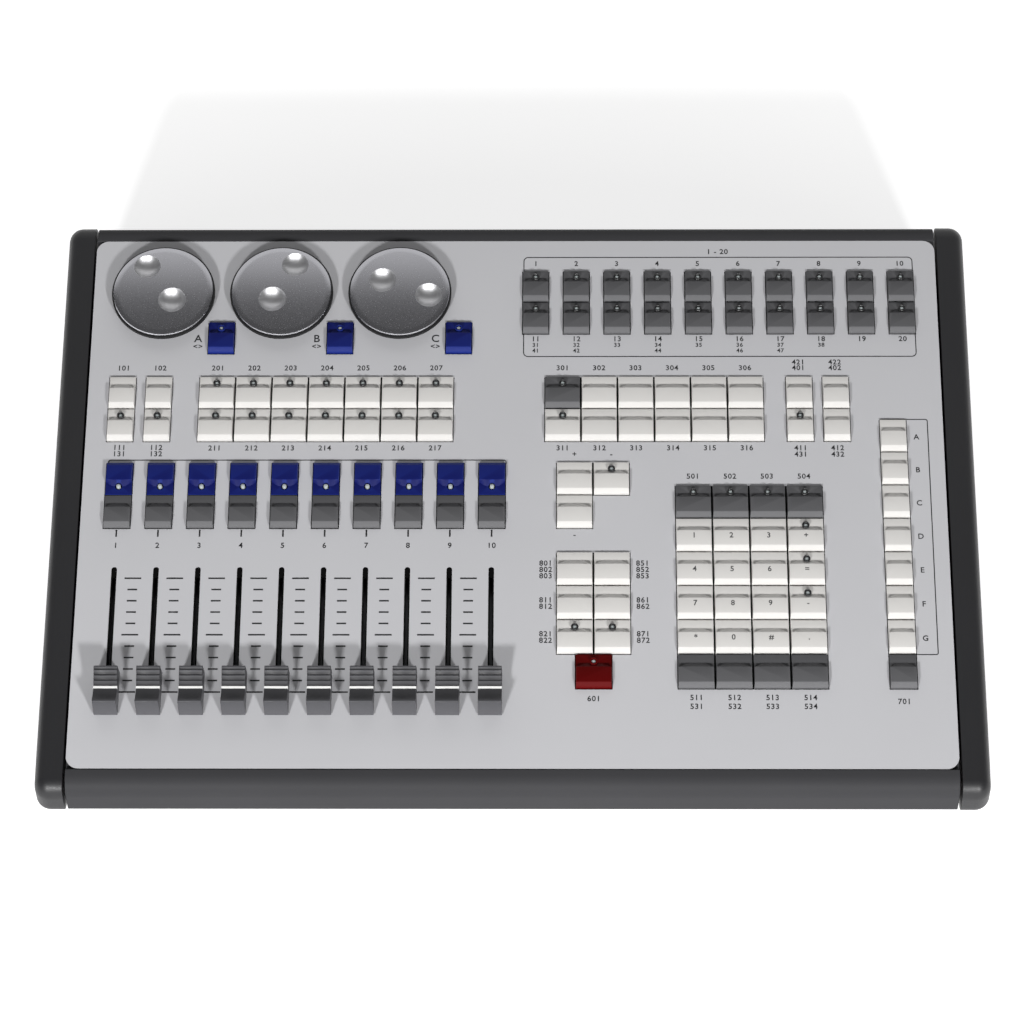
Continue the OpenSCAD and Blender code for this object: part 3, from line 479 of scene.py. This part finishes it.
# The slope behind the finger face ends in a flat arch that dies out before the corners
def archSlope(cap, foot, top):
    k = keyCap
    near = 0.05 * mm
    isFoot = lambda p: abs(p.y - foot) < near and abs(p.z - k["ledge"]) < near
    isTop = lambda p: abs(p.y - foot + k["slopeDepth"]) < near and abs(p.z - top) < near
    edit(cap, "EDGE")
    pick(cap, "edges", lambda e: all(isFoot(v.co) for v in e.verts)
         or all(isTop(v.co) for v in e.verts))
    bpy.ops.mesh.subdivide(number_cuts=k["archCuts"])
    bpy.ops.mesh.select_mode(type="VERT")
    mesh = bmesh.from_edit_mesh(cap.data)
    levels = sorted({round(abs(v.co.x), 6) for v in mesh.verts if isFoot(v.co)})
    for level in levels[1:]:
        pickVerts(cap, lambda p: isFoot(p) and abs(abs(p.x) - level) < 2e-6)
        back = k["arch"] * min(1, (level / levels[-1] / k["archEnd"]) ** k["archPower"])
        bpy.ops.transform.translate(value=(0, -back, 0))
    endEdit()


def makeCap(name, width, length, lamp):
    k = keyCap
    front = k["frontGap"] - length / 2
    cap = boxPiece(name, -width / 2, width / 2, front, length / 2, k["skirt"], k["top"])
    edit(cap)
    slopeFoot = length / 2 - k["ledgeDepth"]
    for y in (slopeFoot, slopeFoot - k["slopeDepth"], front + k["frontDepth"]):
        cut((0, y, 0), (0, 1, 0))
    cut((0, 0, k["taperStart"]), (0, 0, 1))
    isTop = k["top"] - 0.1 * mm
    pickVerts(cap, lambda p: p.z > isTop and p.y > slopeFoot - 0.1 * mm)
    bpy.ops.transform.translate(value=(0, 0, k["ledge"] - k["top"]))
    pickVerts(cap, lambda p: p.z > isTop and p.y < front + 0.1 * mm)
    bpy.ops.transform.translate(value=(0, 0, k["frontTop"] - k["top"]))
    for level in (k["top"], k["ledge"], k["frontTop"]):
        inset = k["taper"] * (level - k["taperStart"]) / (k["top"] - k["taperStart"])
        pickVerts(cap, lambda p: abs(p.z - level) < 0.05 * mm)
        bpy.ops.transform.resize(value=(1 - 2 * inset / width, 1, 1))
    endEdit()
    archSlope(cap, slopeFoot, k["top"])
    edit(cap, "EDGE")
    pick(cap, "edges", lambda e: e.is_convex and e.calc_face_angle(0) > 0.3
         and min(v.co.z for v in e.verts) > k["taperStart"] + 0.05 * mm
         and abs(e.verts[0].co.z - e.verts[1].co.z) < 0.01 * mm)
    bpy.ops.mesh.bevel(offset=k["edge"], segments=2)
    bpy.ops.mesh.select_mode(type="FACE")
    pick(cap, "faces", lambda f: f.normal.z < -0.99
         and f.calc_center_median().z < k["skirt"] + 0.1 * mm)
    bpy.ops.mesh.inset(thickness=k["wall"])
    bpy.ops.mesh.extrude_region_move(
        TRANSFORM_OT_translate={"value": (0, 0, k["ceiling"] - k["skirt"])})
    bpy.ops.mesh.inset(thickness=k["stemRoot"])
    inner = 2 * (k["wall"] + k["stemRoot"])
    bpy.ops.transform.resize(value=(k["stem"] / (width - inner), k["stem"] / (length - inner), 1),
                             center_override=(0, k["frontGap"] / 2, k["ceiling"]))
    bpy.ops.mesh.extrude_region_move(
        TRANSFORM_OT_translate={"value": (0, 0, k["stemEnd"] - k["ceiling"])})
    endEdit()
    if lamp:
        clearSelection()
        bpy.ops.mesh.primitive_cylinder_add(
            vertices=k["lampSides"], radius=k["lampHole"] / 2, depth=8 * mm,
            location=(0, length / 2 - k["lampInset"], 3 * mm))
        combine(cap, bpy.context.object)
    smooth(cap, k["smooth"])
    return cap


lampPlaces = [(a + b) / 2 for a, b in solidsOf("key_lamps")]
capKinds = {}


def capFor(low, high):
    width, length = round(high.x - low.x, 5), round(high.y - low.y, 5)
    middle = (low + high) / 2
    lamps = [p for p in lampPlaces if low.x < p.x < high.x and low.y < p.y < high.y]
    turned = bool(lamps) and lamps[0].y < middle.y
    kind = (width, length, bool(lamps))
    if kind not in capKinds:
        capKinds[kind] = makeCap(f"capKind{len(capKinds)}", width, length, bool(lamps))
    return capKinds[kind], middle, turned


keyBoxes = {}
for bank, finish in keyBanks.items():
    caps = []
    keyBoxes[bank] = solidsOf(bank)
    for lowest, highest in keyBoxes[bank]:
        kind, middle, turned = capFor(lowest, highest)
        twin = copyOf(kind, f"{bank}Cap{len(caps)}")
        turn = Matrix.Rotation(math.pi if turned else 0, 4, "Z")
        place(twin, toDesk @ Matrix.Translation((middle.x, middle.y, 0)) @ turn)
        caps.append(twin)
    fit(joinAll(caps, bank.replace("_", "-") + "-caps"), finish, bank, bank)
for kind in capKinds.values():
    bpy.data.objects.remove(kind)
print("keys made")


# Key lamps: a domed lens on the board, seen through a collar that is part of the key; the collar is
# painted dark, as painted shade in the lamp hole, except on the blue and red keys
keyLamp = {"lens": 1.1 * mm, "low": -10.4 * mm, "top": 2.6 * mm, "dome": 0.6 * mm, "sides": 20}
keyCollar = {"inner": 1.22 * mm, "outer": 1.78 * mm, "low": 0.8 * mm, "top": 3.1 * mm,
             "edge": 0.14 * mm, "bare": ["flash_keys"], "own": ["blueKey", "redKey"]}

k, c = keyLamp, keyCollar
lensOutline = [(0, k["low"]), (k["lens"], k["low"])]
for step in range(6):
    turn = math.radians(90 * step / 5)
    lensOutline.append((k["lens"] * math.cos(turn), k["top"] - k["dome"] * (1 - math.sin(turn))))
lensKind = lathe("lensKind", lensOutline, k["sides"])
smooth(lensKind, 40)
collarKind = lathe("collarKind", [
    (c["inner"], c["low"]), (c["outer"], c["low"]), (c["outer"], c["top"] - c["edge"]),
    (c["outer"] - c["edge"], c["top"]), (c["inner"] + c["edge"], c["top"]),
    (c["inner"], c["top"] - c["edge"]), (c["inner"], c["low"])], k["sides"])
smooth(collarKind, 40)
lenses = []
for spot in lampPlaces:
    lens = copyOf(lensKind, f"lens{len(lenses)}")
    place(lens, toDesk @ Matrix.Translation((spot.x, spot.y, 0)))
    lenses.append(lens)
fit(joinAll(lenses, "key-lamp-lenses"), "lensPlastic", desk, "key_lamps")
for bank, finish in keyBanks.items():
    spots = [p for p in lampPlaces for lowest, highest in keyBoxes[bank]
             if lowest.x < p.x < highest.x and lowest.y < p.y < highest.y]
    collars = []
    for spot in spots if bank not in c["bare"] else []:
        collar = copyOf(collarKind, f"collar{len(collars)}")
        place(collar, toDesk @ Matrix.Translation((spot.x, spot.y, 0)))
        collars.append(collar)
    if collars:
        # Collars of keys other than the blue and red ones are painted dark: painted shade in the
        # lamp holes
        fit(joinAll(collars, bank.replace("_", "-") + "-collars"),
            finish if finish in c["own"] else "bezelPlastic", bank)
for kind in (lensKind, collarKind):
    bpy.data.objects.remove(kind)
print("lamps made")


faderCap = {"low": 1 * mm, "top": 12.4 * mm, "valley": 9 * mm, "line": 1.2 * mm,
            "leverWidth": 1.2 * mm, "leverLength": 4 * mm, "leverTop": 6 * mm,
            "edge": 0.16 * mm, "lean": 0.02, "lineDrop": 1.8 * mm, "travel": 60 * mm,
            "slotFront": 5.5 * mm, "slotRear": 7.5 * mm, "slotWidth": 2.7 * mm}
# Points behind and before the white line: (distance from the line's middle, height)
capRear = [(0.6, 9), (1.1, 8.9), (2.7, 10.1), (3.5, 9.7), (5.1, 11.1), (5.9, 10.6), (7.4, 12.1),
           (8.2, 11.7), (9, 12.4), (9.8, 12.2), (10.2, 11.3)]
capFront = [(0.6, 9), (1.4, 9.1), (3, 9.5), (4.6, 10.2), (6.2, 11.2), (7.6, 12.2), (8, 12.4),
            (8.7, 12.4), (9.2, 11.9)]


def makeFaderCap(width, length):
    f = faderCap
    end = length / 2
    rear = [(y * mm, z * mm) for y, z in capRear] + [(end, f["low"])]
    front = [(-y * mm, z * mm) for y, z in capFront] + [(-end, f["low"])]
    cap = prism("faderKind", front[::-1] + rear, -width / 2, width / 2)
    edit(cap)
    for level in sorted({round(z, 6) for y, z in rear + front}):
        inset = max(0, level - f["low"] - 3 * mm) * f["lean"]
        pickVerts(cap, lambda p: abs(p.z - level) < 0.004 * mm)
        bpy.ops.transform.resize(value=(1 - 2 * inset / width, 1, 1))
    endEdit()
    softEdges(cap, f["edge"], 2, 25)
    smooth(cap, 30)
    return cap


for n in range(1, faderCount + 1):
    f = faderCap
    node = f"fader_{n}"
    boxes = solidsOf(node)
    capLow, capHigh = max(boxes, key=lambda b: b[1].z)
    leverLow, leverHigh = min(boxes, key=lambda b: b[0].z)
    middle = (capLow + capHigh) / 2
    if n == 1:
        width = capHigh.x - capLow.x
        capKind = makeFaderCap(width, capHigh.y - capLow.y)
        lineHalf = width / 2 - (f["valley"] - f["low"] - 3 * mm) * f["lean"] + 0.05 * mm
    spot = toDesk @ Matrix.Translation((middle.x, middle.y, 0))
    cap = copyOf(capKind, f"fader-{n}-cap")
    place(cap, spot)
    fit(cap, "capPlastic", node, node)
    line = boxPiece(f"fader-{n}-line", -lineHalf, lineHalf, -f["line"] / 2, f["line"] / 2,
                    f["valley"] - f["lineDrop"], f["valley"] + 0.08 * mm)
    softEdges(line, 0.05 * mm, 1)
    place(line, spot)
    fit(line, "lineWhite", node)
    carriage = boxPiece(f"fader-{n}-lever", leverLow.x, leverHigh.x, leverLow.y, leverHigh.y,
                        leverLow.z, -panelThick - 1.5 * mm)
    edit(carriage, "FACE")
    pick(carriage, "faces", lambda p: p.normal.z > 0.9)
    bpy.ops.mesh.inset(thickness=0.1 * mm)
    bpy.ops.transform.resize(
        value=(f["leverWidth"] / (leverHigh.x - leverLow.x - 0.2 * mm),
               f["leverLength"] / (leverHigh.y - leverLow.y - 0.2 * mm), 1),
        center_override=(middle.x, middle.y, 0))
    bpy.ops.mesh.extrude_region_move(
        TRANSFORM_OT_translate={"value": (0, 0, f["leverTop"] + panelThick + 1.5 * mm)})
    endEdit()
    softEdges(carriage, 0.12 * mm, 2)
    smooth(carriage)
    place(carriage, toDesk)
    fit(carriage, "screwSteel", node)
    slotLow, slotHigh = middle.y - f["slotFront"], middle.y + f["travel"] + f["slotRear"]
    half = f["slotWidth"] / 2 - 0.02 * mm
    felt = boxPiece(f"fader-{n}-felt", middle.x - half, middle.x + half, slotLow + 0.02 * mm,
                    slotHigh - 0.02 * mm, -1.5 * mm, -0.35 * mm)
    edit(felt, "EDGE")
    pick(felt, "edges", lambda e: abs(e.verts[0].co.z - e.verts[1].co.z) > 0.5 * mm)
    bpy.ops.mesh.bevel(offset=half - 0.02 * mm, segments=6)
    endEdit()
    slit = f["leverWidth"] / 2 + 0.12 * mm
    ends = f["leverLength"] / 2 + 0.3 * mm
    combine(felt, boxPiece("slit", middle.x - slit, middle.x + slit, middle.y - ends,
                           middle.y + f["travel"] + ends, -3 * mm, 1 * mm))
    place(felt, toDesk)
    fit(felt, "slotFelt", desk)
bpy.data.objects.remove(capKind)
print("faders made")


# A wheel's disc: a crowned top with a rounded brink, a rim and a hollow for the hub below
wheelDisc = {"rim": 2.4 * mm, "inset": 2.5 * mm, "chamfer": 1 * mm, "chamferDrop": 0.8 * mm,
             "shoulder": 0.3 * mm, "shoulderDrop": 0.35 * mm, "crown": 0.9 * mm, "crownSteps": 12,
             "pocket": 7.7 * mm, "pocketTop": 3 * mm, "bore": 3.02 * mm, "boreTop": 4 * mm,
             "dimple": 7 * mm, "dimpleDepth": 4 * mm, "dimpleEdge": 0.2 * mm,
             "dimpleSides": 96, "dimpleRings": 64, "sides": 160, "smooth": 25}
# Finger dimples of each wheel: distance from the axis in mm, angle in degrees
dimplePlaces = {"a": [(16.3, 122), (7.4, -50)], "b": [(16.3, 66), (6.8, 230)],
                "c": [(15, -11), (10.5, 147)]}

w = wheelDisc
for wheel in wheelNames:
    low, high = solidsOf(f"wheel_disc_{wheel}")[0]
    middle = (low + high) / 2
    radius = (high.x - low.x) / 2
    flat = radius - w["chamfer"]
    crown = []
    for step in range(w["crownSteps"] + 1):
        r = flat * step / w["crownSteps"]
        crown.append((r, high.z - w["crown"] * (r / flat) ** 2))
    brink = high.z - w["crown"]
    crown += [(radius - w["shoulder"], brink - w["shoulderDrop"]),
              (radius, brink - w["chamferDrop"]),
              (radius, high.z - w["rim"]), (radius - w["inset"], high.z - w["rim"]),
              (radius - w["inset"], low.z), (w["pocket"], low.z), (w["pocket"], w["pocketTop"]),
              (w["bore"], w["pocketTop"]), (w["bore"], w["boreTop"]), (0, w["boreTop"])]
    disc = lathe(f"wheel-{wheel}-disc", crown, w["sides"])
    ball = (w["dimple"] ** 2 + w["dimpleDepth"] ** 2) / (2 * w["dimpleDepth"])
    dimples = [Vector((distance * mm * math.cos(math.radians(angle)),
                       distance * mm * math.sin(math.radians(angle)), 0))
               for distance, angle in dimplePlaces[wheel]]
    for dimple in dimples:
        clearSelection()
        bpy.ops.mesh.primitive_uv_sphere_add(
            segments=w["dimpleSides"], ring_count=w["dimpleRings"], radius=ball,
            location=(dimple.x, dimple.y, high.z - w["dimpleDepth"] + ball))
        combine(disc, bpy.context.object)
    smooth(disc, w["smooth"])
    # The dimples' faces get the lighter copy of the metal: painted highlight in the finger dimples
    paint(disc, "wheelMetal")
    disc.data.materials.append(finishes["dimpleMetal"])
    for face in disc.data.polygons:
        spot = face.center
        inDimple = any((spot - dimple).xy.length < w["dimple"] + w["dimpleEdge"]
                       for dimple in dimples)
        crownZ = high.z - w["crown"] * (spot.x ** 2 + spot.y ** 2) / flat ** 2
        if inDimple and face.normal.z > 0.1 and spot.z < crownZ - 0.03 * mm:
            face.material_index = 1
    place(disc, toDesk @ Matrix.Translation((middle.x, middle.y, 0)))
    fit(disc, None, f"wheel_{wheel}", f"wheel_disc_{wheel}")
print("wheels made")


# Printed marks: plain numbers, single letters, lines and ticks, a thin raised layer of ink
inkLayer = {"low": -0.02 * mm, "high": 0.03 * mm}  # from the face that is printed on
inkSize = {"number": 4.0 * mm, "letter": 5.8 * mm, "legend": 3.9 * mm, "small": 3.1 * mm,
           "key": 3.9 * mm, "line": 0.5 * mm, "bold": 0.07 * mm}
marks = []


def lettering(text, x, y, size, align="CENTER", low=None, high=None):
    clearSelection()
    bpy.ops.object.text_add()
    piece = bpy.context.object
    words = piece.data
    words.body = text
    words.size = size
    words.align_x = align
    words.align_y = "CENTER"
    words.resolution_u = 3
    words.offset = inkSize["bold"]
    words.space_character = 1.12
    low = inkLayer["low"] if low is None else low
    high = inkLayer["high"] if high is None else high
    words.extrude = (high - low) / 2
    bpy.ops.object.convert(target="MESH")
    tidyNormals(piece)
    place(piece, Matrix.Translation((x, y, (low + high) / 2)))
    return piece


def mark(text, x, y, size="legend", align="CENTER"):
    marks.append(lettering(text, x, y, inkSize[size], align))


def stroke(x0, x1, y0, y1):
    marks.append(boxPiece("stroke", x0, x1, y0, y1, inkLayer["low"], inkLayer["high"]))


# A rounded rectangle drawn as one line
def frameLine(x0, x1, y0, y1, corner, openBelow=False):
    clearSelection()
    bpy.ops.mesh.primitive_plane_add(size=1)
    piece = bpy.context.object
    size = Matrix.Diagonal((x1 - x0, y1 - y0, 1, 1))
    place(piece, Matrix.Translation(((x0 + x1) / 2, (y0 + y1) / 2, inkLayer["low"])) @ size)
    edit(piece)
    bpy.ops.mesh.select_all(action="SELECT")
    bpy.ops.mesh.bevel(offset=corner, segments=6, affect="VERTICES")
    bpy.ops.mesh.select_all(action="SELECT")
    bpy.ops.mesh.inset(thickness=inkSize["line"])
    bpy.ops.mesh.delete(type="FACE")
    if openBelow:
        bpy.ops.mesh.select_all(action="SELECT")
        bpy.ops.mesh.bisect(plane_co=(0, y0 + 2 * inkSize["line"], 0), plane_no=(0, 1, 0),
                            clear_inner=True)
    bpy.ops.mesh.select_all(action="SELECT")
    bpy.ops.mesh.extrude_region_move(
        TRANSFORM_OT_translate={"value": (0, 0, inkLayer["high"] - inkLayer["low"])})
    endEdit()
    tidyNormals(piece)
    marks.append(piece)


def blockOf(*banks):
    boxes = [b for bank in banks for b in keyBoxes[bank]]
    return (min(b[0].x for b in boxes), max(b[1].x for b in boxes),
            min(b[0].y for b in boxes), max(b[1].y for b in boxes))


def columnsOf(*banks):
    boxes = [b for bank in banks for b in keyBoxes[bank]]
    return sorted({round((b[0].x + b[1].x) / 2, 5) for b in boxes})


# Ten channels: number, tick under each select key, line over the flash keys, fader scales
channelMark = {"number": 9.2 * mm, "tickTop": 0.6 * mm, "tickFoot": 4.4 * mm, "half": 0.4 * mm,
               "left": 0.4 * mm, "right": 0.6 * mm, "below": 1.6 * mm, "above": 2 * mm,
               "corner": 1.5 * mm}
scaleMark = {"steps": 10, "longEvery": 5, "long": 4.05 * mm, "short": 2.35 * mm,
             "pitch": 6 * mm, "first": 1.4 * mm, "half": 0.4 * mm, "left": 0.85 * mm}
x0, x1, y0, y1 = blockOf("flash_keys", "select_keys")
channels = columnsOf("select_keys")
for n, x in enumerate(channels):
    m = channelMark
    mark(str(n + 1), x, y0 - m["number"], "number")
    stroke(x - m["half"], x + m["half"], y0 - m["tickFoot"], y0 - m["tickTop"])
frameLine(x0 + m["left"], x1 + m["right"], y1 - m["below"], y1 + m["above"], m["corner"],
          openBelow=True)
restY = sum(p.y for p in max(solidsOf("fader_1"), key=lambda b: b[1].z)) / 2
for left, right in zip(channels, channels[1:]):
    m = scaleMark
    for n in range(m["steps"] + 1):
        reach = m["long"] if n % m["longEvery"] == 0 else m["short"]
        y = restY + m["first"] + m["pitch"] * n
        middle = (left + right) / 2 - m["left"]
        stroke(middle - reach, middle + reach, y - m["half"], y + m["half"])

# Wheel letters, each over a small turning arrow sign
wheelMark = {"left": 5.2 * mm, "letterDrop": 0.2 * mm, "signDrop": 4.6 * mm}
for n, wheel in enumerate(wheelNames):
    left, _, front, rear = blockOf(f"wheel_key_{wheel}")
    m = wheelMark
    mark("ABC"[n], left - m["left"], (front + rear) / 2 - m["letterDrop"], "letter")
    mark("<>", left - m["left"], (front + rear) / 2 - m["signDrop"], "legend")

# Executors: frame, numbers and small second and third numbers
executorMark = {"side": 0.2 * mm, "below": 12.9 * mm, "above": 8.7 * mm, "corner": 2.5 * mm,
                "title": 11.6 * mm, "upper": 4.7 * mm, "lower": 2.8 * mm, "second": 6.2 * mm,
                "third": 9.4 * mm, "secondCount": 8, "thirdColumns": (0, 1, 3, 5, 6)}
m = executorMark
x0, x1, y0, y1 = blockOf("executor_keys")
frameLine(x0 + m["side"], x1 + m["side"], y0 - m["below"], y1 + m["above"], m["corner"])
mark("1 - 20", (x0 + x1) / 2, y1 + m["title"], "number")
for n, x in enumerate(columnsOf("executor_keys")):
    mark(str(n + 1), x, y1 + m["upper"])
    mark(str(n + 11), x, y0 - m["lower"])
    if n < m["secondCount"]:
        mark(str(n + 31), x, y0 - m["second"], "small")
    if n in m["thirdColumns"]:
        mark(str(n + 41), x, y0 - m["third"], "small")

# Rows of key numbers above and below the blocks: banks, first number above and below, lines
# above and below, distance of the first line below and from line to line in mm
rows = [(("fixture_keys",), 101, 111, 1, 2, 3.3, 3.5),
        (("attribute_keys",), 201, 211, 1, 1, 3.6, 3.0),
        (("record_key", "menu_keys"), 301, 311, 1, 1, 3.6, 3.0),
        (("window_keys",), 401, 411, 2, 2, 3.6, 3.5),
        (("keypad_upper_keys",), 501, None, 1, 0, 3.6, 3.0),
        (("keypad_lower_keys",), None, 511, 0, 2, 4.5, 4.6),
        (("go_key",), None, 601, 0, 1, 5.1, 3.0), (("locate_key",), None, 701, 0, 1, 6.5, 3.0)]
rowMark = {"above": 5.4 * mm, "abovePitch": 3.2 * mm, "nextLine": 20}
m = rowMark
for banks, above, below, linesAbove, linesBelow, drop, pitch in rows:
    x0, x1, y0, y1 = blockOf(*banks)
    for n, x in enumerate(columnsOf(*banks)):
        for line in range(linesAbove):
            mark(str(above + n + m["nextLine"] * line), x,
                 y1 + m["above"] + m["abovePitch"] * line)
        for line in range(linesBelow):
            mark(str(below + n + m["nextLine"] * line), x, y0 - (drop + pitch * line) * mm)

# Page and cue keys: signs above and below, numbers at the sides
pageMark = {"above": 4.9 * mm, "below": 3.4 * mm}
cueMark = {"left": 2.2 * mm, "right": 3 * mm, "pitch": 3.4 * mm, "rows": 3, "lines": (3, 2, 2)}
m = pageMark
x0, x1, y0, y1 = blockOf("page_keys")
for n, x in enumerate(columnsOf("page_keys")):
    mark("+-"[n], x, y1 + m["above"])
mark("-", columnsOf("page_keys")[0], y0 - m["below"])
m = cueMark
x0, x1, y0, y1 = blockOf("cue_keys")
for row, count in enumerate(m["lines"]):
    middleY = y1 - (y1 - y0) * (row + 0.5) / m["rows"]
    for line in range(count):
        y = middleY + m["pitch"] * ((count - 1) / 2 - line)
        mark(str(801 + 10 * row + line), x0 - m["left"], y, "legend", "RIGHT")
        mark(str(851 + 10 * row + line), x1 + m["right"], y, "legend", "LEFT")

# Soft keys: frame and letters
softMark = {"margin": 0.3 * mm, "above": 0.9 * mm, "right": 203.95 * mm, "corner": 1.2 * mm,
            "letter": 4.9 * mm, "letterDrop": 0.4 * mm}
m = softMark
x0, x1, y0, y1 = blockOf("soft_keys")
frameLine(x0 - m["margin"], m["right"], y0 - m["margin"], y1 + m["above"], m["corner"])
softRows = sorted({round((b[0].y + b[1].y) / 2, 5) for b in keyBoxes["soft_keys"]}, reverse=True)
for letter, y in zip("ABCDEFG", softRows):
    mark(letter, x1 + m["letter"], y - m["letterDrop"], "number")

legends = joinAll(marks, "panel-marks")
place(legends, toDesk)
fit(legends, "ink", desk)

# Digits and signs on the keypad's own caps
digitDrop = 1.2 * mm
signs = "*0#.789-456=123+"
digits = []
for sign, (lowest, highest) in zip(signs, keyBoxes["keypad_keys"]):
    x = (lowest.x + highest.x) / 2
    y = (lowest.y + highest.y) / 2 - digitDrop
    digits.append(lettering(sign, x, y, inkSize["key"], "CENTER", keyCap["top"] + inkLayer["low"],
                            keyCap["top"] + inkLayer["high"]))
digits = joinAll(digits, "keypad-digits")
place(digits, toDesk)
fit(digits, "keyInk", "keypad_keys")
print("marks made")


cameraView = {"place": (0.0242, -0.6890, 1.674), "pitch": 63.78, "yaw": 1.73, "roll": -1.56,
              "lens": 134.47}
camera = bpy.data.objects.new("camera", bpy.data.cameras.new("camera"))
bpy.context.scene.collection.objects.link(camera)
camera.data.sensor_width = 36
camera.data.lens = cameraView["lens"]
camera.data.clip_start, camera.data.clip_end = 0.05, 50
camera.matrix_world = (toDesk @ Matrix.Translation(cameraView["place"])
                       @ Matrix.Rotation(math.radians(cameraView["yaw"]), 4, "Z")
                       @ Matrix.Rotation(math.radians(90 - cameraView["pitch"]), 4, "X")
                       @ Matrix.Rotation(math.radians(cameraView["roll"]), 4, "Z"))
bpy.context.scene.camera = camera
bpy.context.scene.view_settings.view_transform = "Standard"

lamps = {"left": {"place": (-0.61, -1.55, 1.2), "power": 31, "size": 0.2},
         "right": {"place": (0.76, -1.635, 1.2), "power": 34, "size": 0.2}}
for name, lamp in lamps.items():
    light = bpy.data.objects.new(name + "Lamp", bpy.data.lights.new(name + "Lamp", "AREA"))
    light.data.energy = lamp["power"]
    light.data.size = lamp["size"]
    bpy.context.scene.collection.objects.link(light)
    light.location = toDesk @ Vector(lamp["place"])
    target = toDesk @ Vector((0, 0.13, 0))
    light.rotation_mode = "QUATERNION"
    light.rotation_quaternion = (target - light.location).to_track_quat("-Z", "Y")

# The room: darker overhead, a pale wall behind the desk and a softer one in front of it
room = {"front": 0.3, "overhead": 0.11, "rear": 0.85,
        "frontEdge": (-0.75, -0.5), "rearEdge": (0.44, 0.64)}
world = bpy.data.worlds.new("studio")
bpy.context.scene.world = world
world.use_nodes = True
tree = world.node_tree
tree.nodes.clear()


def worldNode(kind, **values):
    node = tree.nodes.new(kind)
    for key, value in values.items():
        setattr(node, key, value)
    return node


direction = worldNode("ShaderNodeTexCoord").outputs["Generated"]
ahead = worldNode("ShaderNodeVectorMath", operation="DOT_PRODUCT")
ahead.inputs[1].default_value = (0, math.cos(tilt), math.sin(tilt))
tree.links.new(direction, ahead.inputs[0])
levels = []
for edge, start, end in (("frontEdge", room["front"], room["overhead"]),
                         ("rearEdge", 0, room["rear"] - room["overhead"])):
    ramp = worldNode("ShaderNodeMapRange", interpolation_type="SMOOTHSTEP")
    ramp.inputs["From Min"].default_value, ramp.inputs["From Max"].default_value = room[edge]
    ramp.inputs["To Min"].default_value = start
    ramp.inputs["To Max"].default_value = end
    tree.links.new(ahead.outputs["Value"], ramp.inputs["Value"])
    levels.append(ramp.outputs["Result"])
total = worldNode("ShaderNodeMath", operation="ADD")
tree.links.new(levels[0], total.inputs[0])
tree.links.new(levels[1], total.inputs[1])
roomLight = worldNode("ShaderNodeBackground")
roomLight.inputs["Color"].default_value = (1, 1, 1, 1)
tree.links.new(total.outputs[0], roomLight.inputs["Strength"])
backdrop = worldNode("ShaderNodeBackground")
backdrop.inputs["Color"].default_value = (1, 1, 1, 1)
backdrop.inputs["Strength"].default_value = 1
mixer = worldNode("ShaderNodeMixShader")
tree.links.new(worldNode("ShaderNodeLightPath").outputs["Is Camera Ray"], mixer.inputs[0])
tree.links.new(roomLight.outputs[0], mixer.inputs[1])
tree.links.new(backdrop.outputs[0], mixer.inputs[2])
tree.links.new(mixer.outputs[0], worldNode("ShaderNodeOutputWorld").inputs["Surface"])

# A pale paper floor, which the camera and the reflections see as white. Its glow is weaker
# close to the desk, so that the shadow still shows there. Distances are in desk half widths
paper = {"size": 6, "grain": 300, "rough": 0.9, "dark": 0.9, "light": 0.93,
         "glow": (0.6, 0.8), "reach": (1.6, 3)}
clearSelection()
bpy.ops.mesh.primitive_plane_add(size=paper["size"])
floor = bpy.context.object
floor.name = "floor"
floorNodes = Nodes("floorPaper")
floorNodes.shader.inputs["Roughness"].default_value = paper["rough"]
grain = floorNodes.noise(paper["grain"], 2)
floorNodes.link(floorNodes.blend(grain, [paper["dark"]] * 3 + [1], [paper["light"]] * 3 + [1]),
                floorNodes.shader.inputs["Base Color"])
seen = floorNodes.add("ShaderNodeLightPath")
direct = floorNodes.add("ShaderNodeMath", operation="ADD", use_clamp=True)
floorNodes.link(seen.outputs["Is Camera Ray"], direct.inputs[0])
floorNodes.link(seen.outputs["Is Glossy Ray"], direct.inputs[1])
either = floorNodes.add("ShaderNodeMath", operation="ADD", use_clamp=True)
floorNodes.link(direct.outputs[0], either.inputs[0])
floorNodes.link(seen.outputs["Is Transmission Ray"], either.inputs[1])
floorNodes.shader.inputs["Emission Color"].default_value = (1, 1, 1, 1)
away = floorNodes.add("ShaderNodeVectorMath", operation="MULTIPLY")
away.inputs[1].default_value = (1 / cadBox[1][0], 1 / cadBox[1][1], 0)
floorNodes.link(floorNodes.place, away.inputs[0])
distance = floorNodes.add("ShaderNodeVectorMath", operation="LENGTH")
floorNodes.link(away.outputs[0], distance.inputs[0])
glow = floorNodes.add("ShaderNodeMath", operation="MULTIPLY")
floorNodes.link(floorNodes.spread(distance.outputs["Value"], *paper["reach"], *paper["glow"]),
                glow.inputs[0])
floorNodes.link(either.outputs[0], glow.inputs[1])
floorNodes.link(glow.outputs[0], floorNodes.shader.inputs["Emission Strength"])
floor.data.materials.append(floorNodes.material)
print("stage made")
